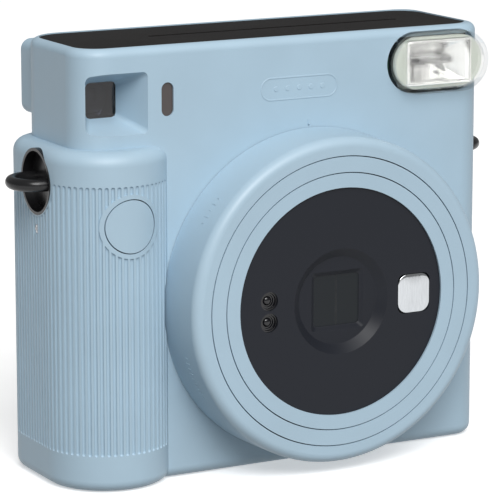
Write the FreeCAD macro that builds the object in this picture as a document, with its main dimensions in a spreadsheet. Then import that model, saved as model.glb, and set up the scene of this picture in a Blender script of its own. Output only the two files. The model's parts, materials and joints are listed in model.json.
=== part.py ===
"""Square-format instant camera with a twist-out lens, built as separate pieces.

Frame: seen from the front, X runs to the right. Y runs to the back and Z up.
The origin is under the middle of the body, on the surface that the camera stands on.
Lengths are millimetres. Every driving size is in the spreadsheet called Sizes.
"""
import FreeCAD, Part
import math
import os
import Sketcher

V = FreeCAD.Vector
doc = FreeCAD.newDocument("instant_camera")
sheet = doc.addObject("Spreadsheet::Sheet", "Sizes")


class Dim:
    """A length with its spreadsheet formula and its present value."""

    def __init__(self, text, value):
        self.text = text
        self.value = float(value)

    def __add__(self, other):
        other = dim(other)
        return Dim("(%s + %s)" % (self.text, other.text), self.value + other.value)

    def __sub__(self, other):
        other = dim(other)
        return Dim("(%s - %s)" % (self.text, other.text), self.value - other.value)

    def __mul__(self, other):
        other = dim(other)
        return Dim("(%s * %s)" % (self.text, other.text), self.value * other.value)

    def __truediv__(self, other):
        other = dim(other)
        return Dim("(%s / %s)" % (self.text, other.text), self.value / other.value)

    def __neg__(self):
        return Dim("(0 - %s)" % self.text, -self.value)

    def __radd__(self, other):
        return dim(other) + self

    def __rsub__(self, other):
        return dim(other) - self

    def __rmul__(self, other):
        return dim(other) * self


def root(area):
    """The square root of a product of two lengths."""
    return Dim("sqrt(%s)" % area.text, math.sqrt(area.value))


def dim(number):
    """A plain number as a Dim. A Dim comes back as it is."""
    return number if isinstance(number, Dim) else Dim("(%s)" % number, number)


DRIVING_SIZES = [
    # the two body shells
    ("body_width", 130.7), ("body_height", 118.6), ("body_depth", 40.0),
    ("side_step", 5.6), ("corner_radius", 7.0), ("left_front_corner", 9.0), ("left_rear_corner", 12.0),
    ("rim_radius", 2.3), ("base_radius", 3.0),
    ("wall", 2.0), ("top_wall", 4.0), ("part_gap", 0.3), ("slide_gap", 0.15), ("running_gap", 0.05),
    # the hand grip on the left
    ("grip_radius", 17.4), ("grip_proud", 6.5), ("grip_height", 92.0), ("shoulder_radius", 3.8),
    ("groove_pitch", 1.7), ("groove_radius", 0.55), ("groove_low", 10.0), ("groove_high", 83.0),
    ("groove_side_end", 11.5),
    # shutter button
    ("button_radius", 7.1), ("button_height", 72.2), ("button_travel", 1.5),
    ("button_flange", 1.1), ("flange_lip", 1.3), ("flange_clear", 0.21), ("button_land", 1.2),
    # lens barrels, all round one axis
    ("lens_from_right", 55.6), ("lens_height", 48.0), ("ring_radius", 45.4), ("ring_proud", 17.5),
    ("ring_taper", 0.5), ("ring_edge", 2.6), ("ring_bore", 40.1), ("skirt_wall", 1.8),
    ("middle_wall", 4.2), ("inner_wall", 2.0), ("face_radius", 31.4), ("face_set", 0.6),
    ("face_thick", 2.9), ("barrel_face", 2.2), ("guide_wall", 2.0), ("skirt_depth", 6.0),
    ("mount_floor", 1.5), ("mount_depth", 8.0), ("middle_length", 15.3), ("lens_hood_radius", 14.6),
    ("lens_hood_floor", 12.1), ("lens_hood_depth", 2.0), ("gate_size", 14.0),
    ("door_width", 8.6), ("door_height", 18.0), ("door_thick", 0.8), ("door_travel", 7.4),
    ("sensor_radius", 2.6), ("sensor_offset", 22.2), ("sensor_pitch", 5.9), ("sensor_raise", 2.3),
    ("mirror_offset", 22.9), ("mirror_width", 10.0), ("mirror_height", 10.8), ("mirror_thick", 1.4),
    ("glass_radius", 8.0), ("cell_wall", 1.5), ("cell_length", 10.0),
    # viewfinder
    ("finder_x", -49.0), ("finder_z", 103.75), ("funnel_width", 18.3), ("funnel_height", 16.5),
    ("funnel_depth", 10.0), ("window_width", 8.9), ("window_height", 9.6), ("window_thick", 1.2),
    ("funnel_wall", 1.4), ("eyecup_proud", 3.2), ("eyecup_width", 17.0), ("eyecup_root", 3.2),
    ("eyecup_low", 96.5), ("eyecup_high", 117.0), ("eyecup_radius", 3.0),
    # metering window beside the viewfinder
    ("pill_x", -34.05), ("pill_z", 104.2), ("pill_width", 3.6), ("pill_height", 9.1),
    # flash
    ("flash_left", 33.75), ("flash_right", 64.55), ("flash_z", 108.9), ("flash_height", 17.0),
    ("flash_proud", 4.2), ("flash_wall", 1.1), ("reflector_left", 38.8), ("reflector_right", 59.6),
    ("reflector_height", 12.6), ("flash_back", 6.4), ("housing_wall", 0.7), ("tube_radius", 1.3),
    # top plate and film exit
    ("plate_inset", 2.4), ("plate_corner", 7.0), ("plate_thick", 2.0), ("plate_sunk", 0.3),
    ("slot_length", 78.4), ("slot_width", 1.8), ("slot_y", 0.7), ("flap_length", 5.5),
    ("flap_thick", 0.7), ("flap_axis_y", 3.6), ("flap_axis_z", 108.6), ("flap_lean", 50.0),
    # film path
    ("pack_width", 80.0), ("pack_height", 92.0), ("pack_depth", 14.0), ("pack_lift", 0.2),
    ("pack_front", 1.0), ("pack_gap", 0.25), ("frame_wall", 1.2), ("gate_frame", 1.5),
    ("image_size", 64.0), ("roller_radius", 3.5), ("roller_z", 104.0), ("nip", 0.2),
    ("shaft_radius", 1.5), ("bracket_thick", 1.5), ("gear_module", 0.6), ("gear_width", 3.0),
    ("gear_stand_off", 1.0), ("roller_teeth", 12), ("idler_teeth", 16), ("pinion_teeth", 10),
    ("motor_radius", 4.8), ("motor_length", 16.0), ("motor_y", -6.8), ("motor_z", 90.0),
    # film door
    ("door_reach", 45.25), ("hinge_reach", 48.85), ("hinge_in", 1.9), ("knuckle_radius", 1.9),
    ("door_clear", 0.9),
    ("pin_radius", 0.8), ("door_low", 5.0), ("door_high", 95.0), ("knuckle_length", 8.0),
    ("film_window_width", 26.0), ("film_window_height", 14.0), ("counter_radius", 3.2),
    ("dial_radius", 7.0), ("dial_hub_radius", 1.0), ("pivot_radius", 0.8),
    ("latch_width", 6.0), ("latch_length", 11.0), ("latch_travel", 3.0), ("latch_z", 49.0),
    # battery bay
    ("hatch_low", 13.0), ("hatch_high", 70.0), ("hatch_hinge_x", -42.5), ("hatch_front", 13.0),
    ("cell_radius", 7.8), ("battery_length", 27.0), ("battery_inset", 9.35), ("battery_y", 8.3),
    ("battery_low", 14.0), ("contact_thick", 1.0), ("bay_wall", 1.2), ("grip_frame_thick", 1.5),
    ("capacitor_radius", 4.5), ("capacitor_length", 34.0), ("board_thick", 1.4), ("board_x", -41.0),
    # strap lugs and screws
    ("lug_radius", 9.0), ("lug_height", 82.2), ("lug_y", -3.5), ("lug_depth", 4.2), ("lug_dish", 2.9),
    ("lug_dish_wall", 0.8), ("loop_radius", 6.3), ("loop_wire", 1.7),
    ("screw_radius", 1.3), ("screw_length", 3.0), ("screw_sunk", 0.35),
    ("side_screw_y", -3.3), ("side_screw_z", 69.3),
    # shutter return spring
    ("spring_wire", 0.35), ("spring_coil", 5.0), ("spring_pitch", 1.2), ("spring_length", 3.6),
]


def fill_sheet():
    """One row for each driving size: its name, its value and the alias that formulas use."""
    sizes = {}
    for row, (alias, value) in enumerate(DRIVING_SIZES, start=1):
        sheet.set("A%d" % row, alias)
        sheet.set("B%d" % row, str(value))
        sheet.setAlias("B%d" % row, alias)
        sizes[alias] = value
    doc.recompute()
    return {alias: Dim("Sizes." + alias, sheet.get(alias)) for alias in sizes}


size = fill_sheet()


class Sizes:
    """The spreadsheet's sizes as attributes."""


s = Sizes()
for alias_name, length in size.items():
    setattr(s, alias_name, length)

AXIS_TURN = {
    "x": FreeCAD.Rotation(V(0, 1, 0), 90),
    "y": FreeCAD.Rotation(V(1, 0, 0), -90),
    "z": FreeCAD.Rotation(),
}


# ---------------------------------------------------------------- building helpers

def bind(obj, prop, length):
    """Ties a property to a formula in the sheet."""
    obj.setExpression(prop, dim(length).text)


def place(obj, x, y, z, turn=None):
    """Puts an object's own origin at a point given by formulas."""
    if turn is not None:
        obj.Placement = FreeCAD.Placement(V(0, 0, 0), turn)
    for axis, length in zip("xyz", (x, y, z)):
        bind(obj, "Placement.Base." + axis, length)


def box(name, x, y, z):
    """A box between two positions along each axis."""
    obj = doc.addObject("Part::Box", name)
    for prop, (low, high) in zip(("Length", "Width", "Height"), (x, y, z)):
        bind(obj, prop, dim(high) - low)
    place(obj, x[0], y[0], z[0])
    return obj


def start_point(axis, across, low):
    """The start of a round piece: its axis, its two cross positions and its low end."""
    first, second = across
    return {"x": (low, first, second), "y": (first, low, second), "z": (first, second, low)}[axis]


def rod(name, axis, across, span, radius):
    """A cylinder along one axis, at the two cross positions, between two ends."""
    obj = doc.addObject("Part::Cylinder", name)
    bind(obj, "Radius", radius)
    bind(obj, "Height", dim(span[1]) - span[0])
    place(obj, *start_point(axis, across, span[0]), turn=AXIS_TURN[axis])
    return obj


def taper(name, axis, across, span, low_radius, high_radius):
    """A cone frustum along one axis."""
    obj = doc.addObject("Part::Cone", name)
    bind(obj, "Radius1", low_radius)
    bind(obj, "Radius2", high_radius)
    bind(obj, "Height", dim(span[1]) - span[0])
    place(obj, *start_point(axis, across, span[0]), turn=AXIS_TURN[axis])
    return obj


def funnel(name, centre, span, front, back):
    """A rectangular frustum along Y: half width and half height at each end of the span."""
    obj = doc.addObject("Part::Wedge", name)
    bind(obj, "Ymin", 0)
    bind(obj, "Ymax", dim(span[1]) - span[0])
    for side, sign in (("min", -1), ("max", 1)):
        bind(obj, "X" + side, dim(front[0]) * sign)
        bind(obj, "Z" + side, dim(front[1]) * sign)
        bind(obj, "X2" + side, dim(back[0]) * sign)
        bind(obj, "Z2" + side, dim(back[1]) * sign)
    place(obj, centre[0], span[0], centre[1])
    return obj


def fuse(name, *pieces):
    obj = doc.addObject("Part::MultiFuse", name)
    obj.Shapes = list(pieces)
    obj.Refine = True
    return obj


def cut(name, base, *tools):
    """The base with every tool taken out of it."""
    for count, tool in enumerate(tools, start=1):
        obj = doc.addObject("Part::Cut", name if count == len(tools) else "%s_cut%d" % (name, count))
        obj.Base = base
        obj.Tool = tool
        obj.Refine = True
        base = obj
    return base


def common(name, first, second):
    obj = doc.addObject("Part::Common", name)
    obj.Base = first
    obj.Tool = second
    obj.Refine = True
    return obj


def round_edges(name, base, radius, wanted):
    """Rounds the edges of the base that the test picks."""
    doc.recompute()
    edges = [n for n, edge in enumerate(base.Shape.Edges, start=1) if wanted(edge)]
    if not edges:
        raise RuntimeError("%s: no edge to round" % name)
    obj = doc.addObject("Part::Fillet", name)
    obj.Base = base
    obj.Edges = [(n, dim(radius).value, dim(radius).value) for n in edges]
    return obj


def near(value, target):
    return abs(value - dim(target).value) < 1e-4


def upright(edge):
    """True for a straight edge along Z."""
    ends = [v.Point for v in edge.Vertexes]
    return len(ends) == 2 and near(ends[0].x, ends[1].x) and near(ends[0].y, ends[1].y)


def level_at(height):
    """A test for edges that lie in one level plane."""
    def wanted(edge):
        bounds = edge.BoundBox
        return near(bounds.ZMin, height) and near(bounds.ZMax, height)
    return wanted


def along_y(edge):
    ends = [v.Point for v in edge.Vertexes]
    return len(ends) == 2 and abs(ends[0].y - ends[1].y) > 0.3


def stadium(name, x, centre_z, height, y):
    """A long hole shape with half-round ends, lying along X and running along Y."""
    radius = dim(height) / 2
    middle = box(name + "_middle", (x[0] + radius, x[1] - radius), y, (centre_z - radius, centre_z + radius))
    left = rod(name + "_left", "y", (x[0] + radius, centre_z), y, radius)
    right = rod(name + "_right", "y", (x[1] - radius, centre_z), y, radius)
    return fuse(name, middle, left, right)


def pill(name, centre, width, height, y):
    """An upright shape with half-round ends that runs along Y."""
    radius = dim(width) / 2
    reach = dim(height) / 2 - radius
    x, z = centre
    middle = box(name + "_middle", (x - radius, x + radius), y, (z - reach, z + reach))
    low = rod(name + "_low", "y", (x, z - reach), y, radius)
    high = rod(name + "_high", "y", (x, z + reach), y, radius)
    return fuse(name, middle, low, high)


def origin_plane(body, role):
    return [f for f in body.Origin.OriginFeatures if f.Role == role][0]


def outline_sketch(body, role, points):
    """A closed sketch of straight lines. Each corner is held by two formulas."""
    sketch = body.newObject("Sketcher::SketchObject", body.Name + "_outline")
    sketch.AttachmentSupport = [(origin_plane(body, role), "")]
    sketch.MapMode = "FlatFace"
    corners = [(dim(u), dim(v)) for u, v in points]
    places = [V(u.value, v.value, 0) for u, v in corners]
    for index, start in enumerate(places):
        sketch.addGeometry(Part.LineSegment(start, places[(index + 1) % len(places)]), False)
    for index in range(len(places)):
        sketch.addConstraint(Sketcher.Constraint("Coincident", index, 2, (index + 1) % len(places), 1))
    for index, (u, v) in enumerate(corners):
        for kind, length, axis in (("DistanceX", u, -2), ("DistanceY", v, -1)):
            if near(length.value, 0):
                sketch.addConstraint(Sketcher.Constraint("PointOnObject", index, 1, axis))
            else:
                row = sketch.addConstraint(Sketcher.Constraint(kind, index, 1, length.value))
                sketch.setExpression("Constraints[%d]" % row, length.text)
    return sketch


def turned(name, points, across, axis="y"):
    """A body of revolution. Points are (radius, position along the axis)."""
    body = doc.addObject("PartDesign::Body", name)
    sketch = outline_sketch(body, "XY_Plane", points)
    spin = body.newObject("PartDesign::Revolution", name + "_turned")
    spin.Profile = sketch
    spin.ReferenceAxis = (sketch, ["V_Axis"])
    spin.Angle = 360.0
    sketch.Visibility = False
    if axis == "y":
        place(body, across[0], 0, across[1])
    else:
        place(body, 0, across[0], across[1], turn=FreeCAD.Rotation(V(0, 0, 1), -90))
    return body


def fixed_shape(name, shape):
    """A piece whose shape is worked out with the geometry functions."""
    obj = doc.addObject("Part::Feature", name)
    obj.Shape = shape
    return obj


nodes = {}


def piece(name, obj):
    """Names a finished sub-part. The name is also its file name."""
    obj.Label = name
    nodes[name] = obj
    return obj


# ---------------------------------------------------------------- places worked out from the sizes

left = -s.body_width / 2
right = s.body_width / 2
front = -s.body_depth / 2
back = s.body_depth / 2
upper_left = left + s.side_step
grip_x = left + s.grip_radius
grip_y = front - s.grip_proud + s.grip_radius
lens = (right - s.lens_from_right, s.lens_height)
lens_x, lens_z = lens
ring_front = front - s.ring_proud
middle_outer = s.ring_bore - s.part_gap
middle_bore = middle_outer - s.middle_wall
inner_outer = middle_bore - s.part_gap
inner_bore = inner_outer - s.inner_wall
guide_outer = inner_bore - s.part_gap
guide_bore = guide_outer - s.guide_wall
skirt_outer = s.ring_bore + s.skirt_wall
mount_front = front + s.wall
mount_back = mount_front + s.mount_depth
face_front = ring_front + s.face_set
face_back = face_front + s.face_thick
door_front = face_back + s.slide_gap
door_back = door_front + s.door_thick
web_front = door_back + s.slide_gap
web_back = web_front + s.cell_wall
film_x = lens_x
door_left = film_x - s.door_reach
hinge_x = film_x + s.hinge_reach
pack_low = s.wall + s.frame_wall + s.pack_lift
battery_x = left + s.wall + s.battery_inset
chamber_left = film_x - s.pack_width / 2 - s.pack_gap - s.frame_wall
chamber_right = film_x + s.pack_width / 2 + s.pack_gap + s.frame_wall
chamber_top = pack_low + s.pack_height + 1
gate_back = s.pack_front - s.pack_gap
gate_front = gate_back - s.gate_frame
cavity_top = s.body_height - s.top_wall
plate_top = s.body_height - s.plate_sunk
plate_floor = plate_top - s.plate_thick
beyond = 5.0


# ---------------------------------------------------------------- the outer form of the body

def round_uprights(name, base, x_left, y_span, less, right_radius):
    """Rounds a block's four upright edges. The two on the grip's side have their own radii, less an inset."""
    def corner(y):
        return lambda e: upright(e) and near(e.Vertexes[0].X, x_left) and near(e.Vertexes[0].Y, y)

    base = round_edges(name + "_right", base, right_radius,
                       lambda e: upright(e) and not near(e.Vertexes[0].X, x_left))
    base = round_edges(name + "_left_front", base, s.left_front_corner - less, corner(y_span[0]))
    return round_edges(name + "_left_rear", base, s.left_rear_corner - less, corner(y_span[1]))


def body_form():
    """The whole outside of the camera body: an upright block with the grip standing out of it."""
    block = box("block", (upper_left, right), (front, back), (0, s.body_height))
    block = round_uprights("block_corners", block, upper_left, (front, back), 0, s.corner_radius)
    block = round_edges("block_rim", block, s.rim_radius, level_at(s.body_height))
    block = round_edges("block_base", block, s.base_radius, level_at(0))
    column = rod("grip_column", "z", (grip_x, grip_y), (0, s.grip_height), s.grip_radius)
    heel = box("grip_heel", (left, grip_x + s.grip_radius), (grip_y, back), (0, s.grip_height))
    heel = round_edges("grip_heel_corner", heel, s.left_rear_corner,
                       lambda e: upright(e) and near(e.Vertexes[0].X, left) and near(e.Vertexes[0].Y, back))
    grip = fuse("grip_blank", column, heel)
    grip = round_edges("grip_shoulder", grip, s.shoulder_radius, level_at(s.grip_height))
    grip = round_edges("grip_base", grip, s.base_radius, level_at(0))
    return fuse("body_outside", block, grip)


def body_hollow():
    """The room inside the shells, one wall in from the outside."""
    room = box("room", (upper_left + s.wall, right - s.wall), (front + s.wall, back - s.wall),
               (s.wall, cavity_top))
    room = round_uprights("room_corners", room, upper_left + s.wall, (front + s.wall, back - s.wall), s.wall,
                          s.corner_radius - s.wall)
    column = rod("grip_room_column", "z", (grip_x, grip_y), (s.wall, s.grip_height - s.wall),
                 s.grip_radius - s.wall)
    heel = box("grip_room_heel", (left + s.wall, grip_x), (grip_y, back - s.wall),
               (s.wall, s.grip_height - s.wall))
    heel = round_edges("grip_room_corner", heel, s.left_rear_corner - s.wall,
                       lambda e: upright(e) and near(e.Vertexes[0].X, left + s.wall)
                       and near(e.Vertexes[0].Y, back - s.wall))
    return fuse("body_room", room, column, heel)


def groove(x, y):
    """One upright groove with round ends."""
    low = s.groove_low.value + s.groove_radius.value
    high = s.groove_high.value - s.groove_radius.value
    radius = s.groove_radius.value
    shaft = Part.makeCylinder(radius, high - low, V(x, y, low))
    return shaft.fuse([Part.makeSphere(radius, V(x, y, low)), Part.makeSphere(radius, V(x, y, high))])


def grip_grooves():
    """The grooves that make the grip's ribs: round the front of the column, then along the side."""
    radius = s.grip_radius.value
    pitch = s.groove_pitch.value
    cx, cy = grip_x.value, grip_y.value
    first = math.asin((front.value - cy) / radius)
    steps = int((math.pi / 2 + first + math.pi / 2) * radius / pitch)
    cutters = []
    for count in range(1, steps + 1):
        angle = -math.pi + count * pitch / radius
        if angle < first - 0.5 * pitch / radius:
            cutters.append(groove(cx + radius * math.cos(angle), cy + radius * math.sin(angle)))
    along = int((s.groove_side_end.value - cy) / pitch)
    for count in range(along + 1):
        cutters.append(groove(left.value, cy + count * pitch))
    return fixed_shape("grooves", Part.Compound(cutters))


outside = body_form()
shell = cut("shell", outside, body_hollow())
clear_of_button = rod("button_land_keep", "y", (grip_x, s.button_height), (front - 15, front),
                      s.button_radius + s.part_gap + s.button_land)
clear_of_lug = rod("lug_land_keep", "x", (s.lug_y, s.lug_height), (left - 5, left + 5), s.lug_radius + 0.4)
grooves = cut("groove_cutters", grip_grooves(), clear_of_button, clear_of_lug)
ribbed_shell = cut("ribbed_shell", shell, grooves)

across_all = (left - beyond, right + beyond)
up_all = (-beyond, s.body_height + beyond)
front_half = box("front_half", across_all, (front - 20, 0), up_all)
rear_half = box("rear_half", across_all, (0, back + 20), up_all)


# ---------------------------------------------------------------- top plate and its seat

def plate_blank(name, grow, low, high):
    """The rounded oblong of the top plate, grown by a clearance."""
    blank = box(name + "_block", (upper_left + s.plate_inset - grow, right - s.plate_inset + grow),
                (front + s.plate_inset - grow, back - s.plate_inset + grow), (low, high))
    return round_uprights(name, blank, upper_left + s.plate_inset - grow,
                          (front + s.plate_inset - grow, back - s.plate_inset + grow),
                          s.plate_inset - grow, s.plate_corner)


def exit_slot(name, length, width, low, high):
    """A long thin slot with half-round ends, running up through the top."""
    x = (film_x - length / 2, film_x + length / 2)
    middle = box(name + "_middle", (x[0] + width / 2, x[1] - width / 2),
                 (s.slot_y - width / 2, s.slot_y + width / 2), (low, high))
    ends = [rod("%s_end%d" % (name, n), "z", (x[n] + (width / 2) * (1 - 2 * n), s.slot_y),
                (low, high), width / 2)
            for n in (0, 1)]
    return fuse(name, middle, *ends)


plate_seat = plate_blank("plate_seat", s.slide_gap, plate_floor, s.body_height + beyond)
film_slot = exit_slot("film_slot", s.slot_length, s.slot_width, s.grip_height, s.body_height + beyond)
top_plate = cut("top_plate_cut", plate_blank("top_plate_blank", 0, plate_floor, plate_top), film_slot)
piece("top_plate", top_plate)


# ---------------------------------------------------------------- strap lugs and case screws

def strap_lug(side, face, inward):
    """A round dish set in the side wall with a half-round loop for the strap."""
    name = "strap_lug_" + side
    depth = face + s.lug_depth * inward
    span = (face, depth) if inward > 0 else (depth, face)
    disc = rod(name + "_disc", "x", (s.lug_y, s.lug_height), span, s.lug_radius)
    floor = face + s.lug_dish * inward
    dish_span = (face - 1, floor) if inward > 0 else (floor, face + 1)
    dish = rod(name + "_dish", "x", (s.lug_y, s.lug_height), dish_span, s.lug_radius - s.lug_dish_wall)
    bowl = cut(name + "_bowl", disc, dish)
    ring = doc.addObject("Part::Torus", name + "_ring")
    bind(ring, "Radius1", s.loop_radius)
    bind(ring, "Radius2", s.loop_wire)
    place(ring, face, s.lug_y, s.lug_height)
    outer = (face - 12, face) if inward > 0 else (face, face + 12)
    outer_side = box(name + "_outer_side", outer, (s.lug_y - 12, s.lug_y + 12),
                     (s.lug_height - 4, s.lug_height + 4))
    loop = common(name + "_loop", ring, outer_side)
    post_span = (face, depth) if inward > 0 else (depth, face)
    posts = [rod("%s_post%d" % (name, n), "x", (s.lug_y + s.loop_radius * sign, s.lug_height),
                 post_span, s.loop_wire)
             for n, sign in enumerate((-1, 1))]
    piece(name, fuse(name + "_made", bowl, loop, *posts))
    return rod(name + "_hole", "x", (s.lug_y, s.lug_height), (face - 6, face + 6), s.lug_radius)


lug_holes = [strap_lug("left", left, 1), strap_lug("right", right, -1)]

base_screws = [(upper_left + 9, front + 9), (right - 9, front + 9),
               (grip_x, front + 3), (right - 9, back - 6)]


def case_screws():
    """The shell's small screws: one in the grip's side and four under the base."""
    heads = [rod("side_screw", "x", (s.side_screw_y, s.side_screw_z),
                 (left + s.screw_sunk, left + s.wall), s.screw_radius)]
    holes = [rod("side_screw_hole", "x", (s.side_screw_y, s.side_screw_z),
                 (left - 2, left + s.wall), s.screw_radius)]
    for n, across in enumerate(base_screws):
        span = (s.screw_sunk, s.screw_sunk + s.screw_length)
        heads.append(rod("base_screw%d" % n, "z", across, span, s.screw_radius))
        holes.append(rod("base_screw_hole%d" % n, "z", across, (-1, span[1]), s.screw_radius))
    group = doc.addObject("Part::Compound", "case_screw_group")
    group.Links = heads
    piece("case_screws", group)
    hole_group = doc.addObject("Part::Compound", "case_screw_holes")
    hole_group.Links = holes
    return hole_group


screw_holes = case_screws()


# ---------------------------------------------------------------- front cover

finder = (s.finder_x, s.finder_z)
window_front = front + s.funnel_depth


def finder_funnel(name, grow, y0):
    """The viewfinder's rectangular funnel, with its four slanted corners rounded."""
    shape = funnel(name + "_wedge", finder, (y0, window_front),
                   (s.funnel_width / 2 + grow, s.funnel_height / 2 + grow),
                   (s.window_width / 2 + grow, s.window_height / 2 + grow))
    return round_edges(name, shape, 1.6, along_y)


def front_cover():
    """Front shell with its grip, lens opening, viewfinder funnel and flash opening."""
    half = cut("front_shell", ribbed_shell, rear_half)
    throat = finder_funnel("finder_throat", s.funnel_wall, front)
    half = fuse("front_shell_finder", half, common("finder_throat_in", throat, outside))
    openings = [
        plate_seat,
        film_slot,
        rod("lens_opening", "y", lens, (front - 5, mount_front + 1), skirt_outer + s.part_gap),
        rod("ring_clearance", "y", lens, (front - s.ring_proud, front), s.ring_radius + s.part_gap),
        finder_funnel("finder_mouth", 0, front),
        box("finder_mouth_end",
            (s.finder_x - s.window_width / 2 + 0.3, s.finder_x + s.window_width / 2 - 0.3),
            (window_front - 1, window_front + 1),
            (s.finder_z - s.window_height / 2 + 0.3, s.finder_z + s.window_height / 2 - 0.3)),
        pill("pill_opening", (s.pill_x, s.pill_z), s.pill_width, s.pill_height, (front - 5, front + 5)),
        stadium("flash_opening", (s.flash_left - s.running_gap, s.flash_right + s.running_gap), s.flash_z,
                s.flash_height + 2 * s.running_gap, (front - 5, front + s.wall)),
        box("flash_bay", (s.reflector_left - s.housing_wall, s.reflector_right + s.housing_wall),
            (front, front + s.flash_back),
            (s.flash_z - s.reflector_height / 2 - s.housing_wall,
             s.flash_z + s.reflector_height / 2 + s.housing_wall)),
        rod("button_hole", "y", (grip_x, s.button_height), (front - 15, front + 2),
            s.button_radius + s.part_gap),
        rod("index_mark", "y", (lens_x - 0.8, s.lens_height + s.ring_radius + 0.8),
            (front - 1, front + 0.35), 0.35),
        lug_holes[0], lug_holes[1], screw_holes,
    ]
    return piece("front_cover", cut("front_cover_made", half, *openings))


front_cover()


# ---------------------------------------------------------------- rear cover, battery hatch and film door

hinge = (hinge_x, back - s.hinge_in)
hatch_hinge = (s.hatch_hinge_x, back - s.hinge_in)
door_right_edge = hinge_x - s.knuckle_radius
hatch_right_edge = s.hatch_hinge_x - s.knuckle_radius


def hinge_room(name, axis_x, low, high):
    """The space that a hinge barrel turns in."""
    x, y = axis_x, back - s.hinge_in
    round_room = rod(name + "_round", "z", (x, y), (low, high), s.knuckle_radius + s.part_gap)
    behind = box(name + "_behind", (x - s.knuckle_radius - s.part_gap, x + s.knuckle_radius + s.part_gap),
                 (y, back + beyond), (low, high))
    return fuse(name, round_room, behind)


def rear_cover():
    """Rear shell with the openings for the film door and the battery hatch."""
    half = cut("rear_shell", ribbed_shell, front_half)
    eyecup = box("eyecup_block", (s.finder_x - s.eyecup_width / 2, s.finder_x + s.eyecup_width / 2),
                 (back - s.wall - s.eyecup_root, back + s.eyecup_proud), (s.eyecup_low, s.eyecup_high))
    eyecup = round_edges("eyecup_corners", eyecup, s.eyecup_radius, along_y)
    eyecup = round_edges("eyecup", eyecup, 1.5,
                         lambda e: near(e.BoundBox.YMin, back + s.eyecup_proud))
    bosses = []
    for name, axis_x, low, high in (("film", hinge_x, s.door_low, s.door_high),
                                    ("hatch", s.hatch_hinge_x, s.hatch_low, s.hatch_high)):
        for end, (z0, z1) in enumerate(((low - 2, low + s.knuckle_length / 2),
                                        (high - s.knuckle_length / 2, high + 2))):
            bosses.append(box("%s_boss%d" % (name, end), (axis_x - 2.2, axis_x + 2.2),
                              (back - s.hinge_in - 2.2, back - 0.5), (z0, z1)))
    half = fuse("rear_shell_bosses", half, eyecup, *bosses)
    barrel = s.knuckle_length / 2
    openings = [
        plate_seat,
        film_slot,
        box("film_opening", (door_left - s.part_gap, door_right_edge),
            (back - s.wall - 3, back + beyond), (s.door_low - s.part_gap, s.door_high + s.part_gap)),
        hinge_room("film_hinge_room", hinge_x, s.door_low + barrel, s.door_high - barrel),
        box("film_hinge_gap", (door_right_edge - 1, hinge_x), (back - s.wall - 3, back + beyond),
            (s.door_low + barrel, s.door_high - barrel)),
        rod("film_pin_bore", "z", hinge, (s.door_low - 0.5, s.door_high + 0.5), s.pin_radius),
        box("hatch_opening", (left - beyond, hatch_right_edge), (s.hatch_front, back + beyond),
            (s.hatch_low, s.hatch_high)),
        hinge_room("hatch_hinge_room", s.hatch_hinge_x, s.hatch_low + barrel, s.hatch_high - barrel),
        box("hatch_hinge_gap", (s.hatch_hinge_x - s.knuckle_radius - 1, s.hatch_hinge_x),
            (back - s.wall - 3, back + beyond), (s.hatch_low + barrel, s.hatch_high - barrel)),
        rod("hatch_pin_bore", "z", hatch_hinge, (s.hatch_low - 0.5, s.hatch_high + 0.5), s.pin_radius),
        box("eyepiece_hole", (s.finder_x - s.window_width / 2, s.finder_x + s.window_width / 2),
            (back - s.wall - s.eyecup_root - 1, back + beyond),
            (s.finder_z - s.window_height / 2, s.finder_z + s.window_height / 2)),
        box("eyepiece_seat", (s.finder_x - 7, s.finder_x + 7), (back + s.eyecup_proud - 2.2, back + beyond),
            (s.finder_z - 6.5, s.finder_z + 6.5)),
        lug_holes[0], lug_holes[1], screw_holes,
    ]
    return piece("rear_cover", cut("rear_cover_made", half, *openings))


rear_cover()

piece("eyepiece_lens", box("eyepiece_glass", (s.finder_x - 7 + 0.05, s.finder_x + 7 - 0.05),
                           (back + s.eyecup_proud - 2.2, back + s.eyecup_proud - 0.8),
                           (s.finder_z - 6.5 + 0.05, s.finder_z + 6.5 - 0.05)))


def door_barrel(name, across, low, high):
    """The part of a hinge that turns on the pin."""
    return rod(name, "z", across, (low, high), s.knuckle_radius)


def battery_hatch():
    """The door over the batteries. It wraps the rear corner of the grip."""
    gap = s.part_gap
    window = box("hatch_window", (left - beyond, hatch_right_edge - s.door_clear),
                 (s.hatch_front + gap, back + beyond), (s.hatch_low + gap, s.hatch_high - gap))
    panel = common("hatch_panel", shell, window)
    low = s.hatch_low + s.knuckle_length / 2 + gap
    high = s.hatch_high - s.knuckle_length / 2 - gap
    barrel = door_barrel("hatch_barrel", hatch_hinge, low, high)
    bridge = box("hatch_bridge", (hatch_right_edge - s.door_clear - 0.6, s.hatch_hinge_x),
                 (back - s.wall, back), (low, high))
    notch = rod("hatch_notch", "x", (s.hatch_front + 2.2, s.hatch_low + gap), (left - 1, left + 3.6), 1.6)
    bore = rod("hatch_bore", "z", hatch_hinge, (s.hatch_low, s.hatch_high), s.pin_radius + s.running_gap)
    door = cut("battery_door_made", fuse("hatch_blank", panel, bridge, barrel), bore, notch)
    piece("battery_door", door)
    piece("battery_door_pin", rod("hatch_pin", "z", hatch_hinge, (s.hatch_low - 0.5, s.hatch_high + 0.5),
                                  s.pin_radius))


battery_hatch()

latch_x = door_left + 2.5
film_window = (film_x, s.lens_height + 12)
counter = (door_left + 12, s.door_low + 12)
counter_centre = (counter[0] + 4, counter[1])


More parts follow.
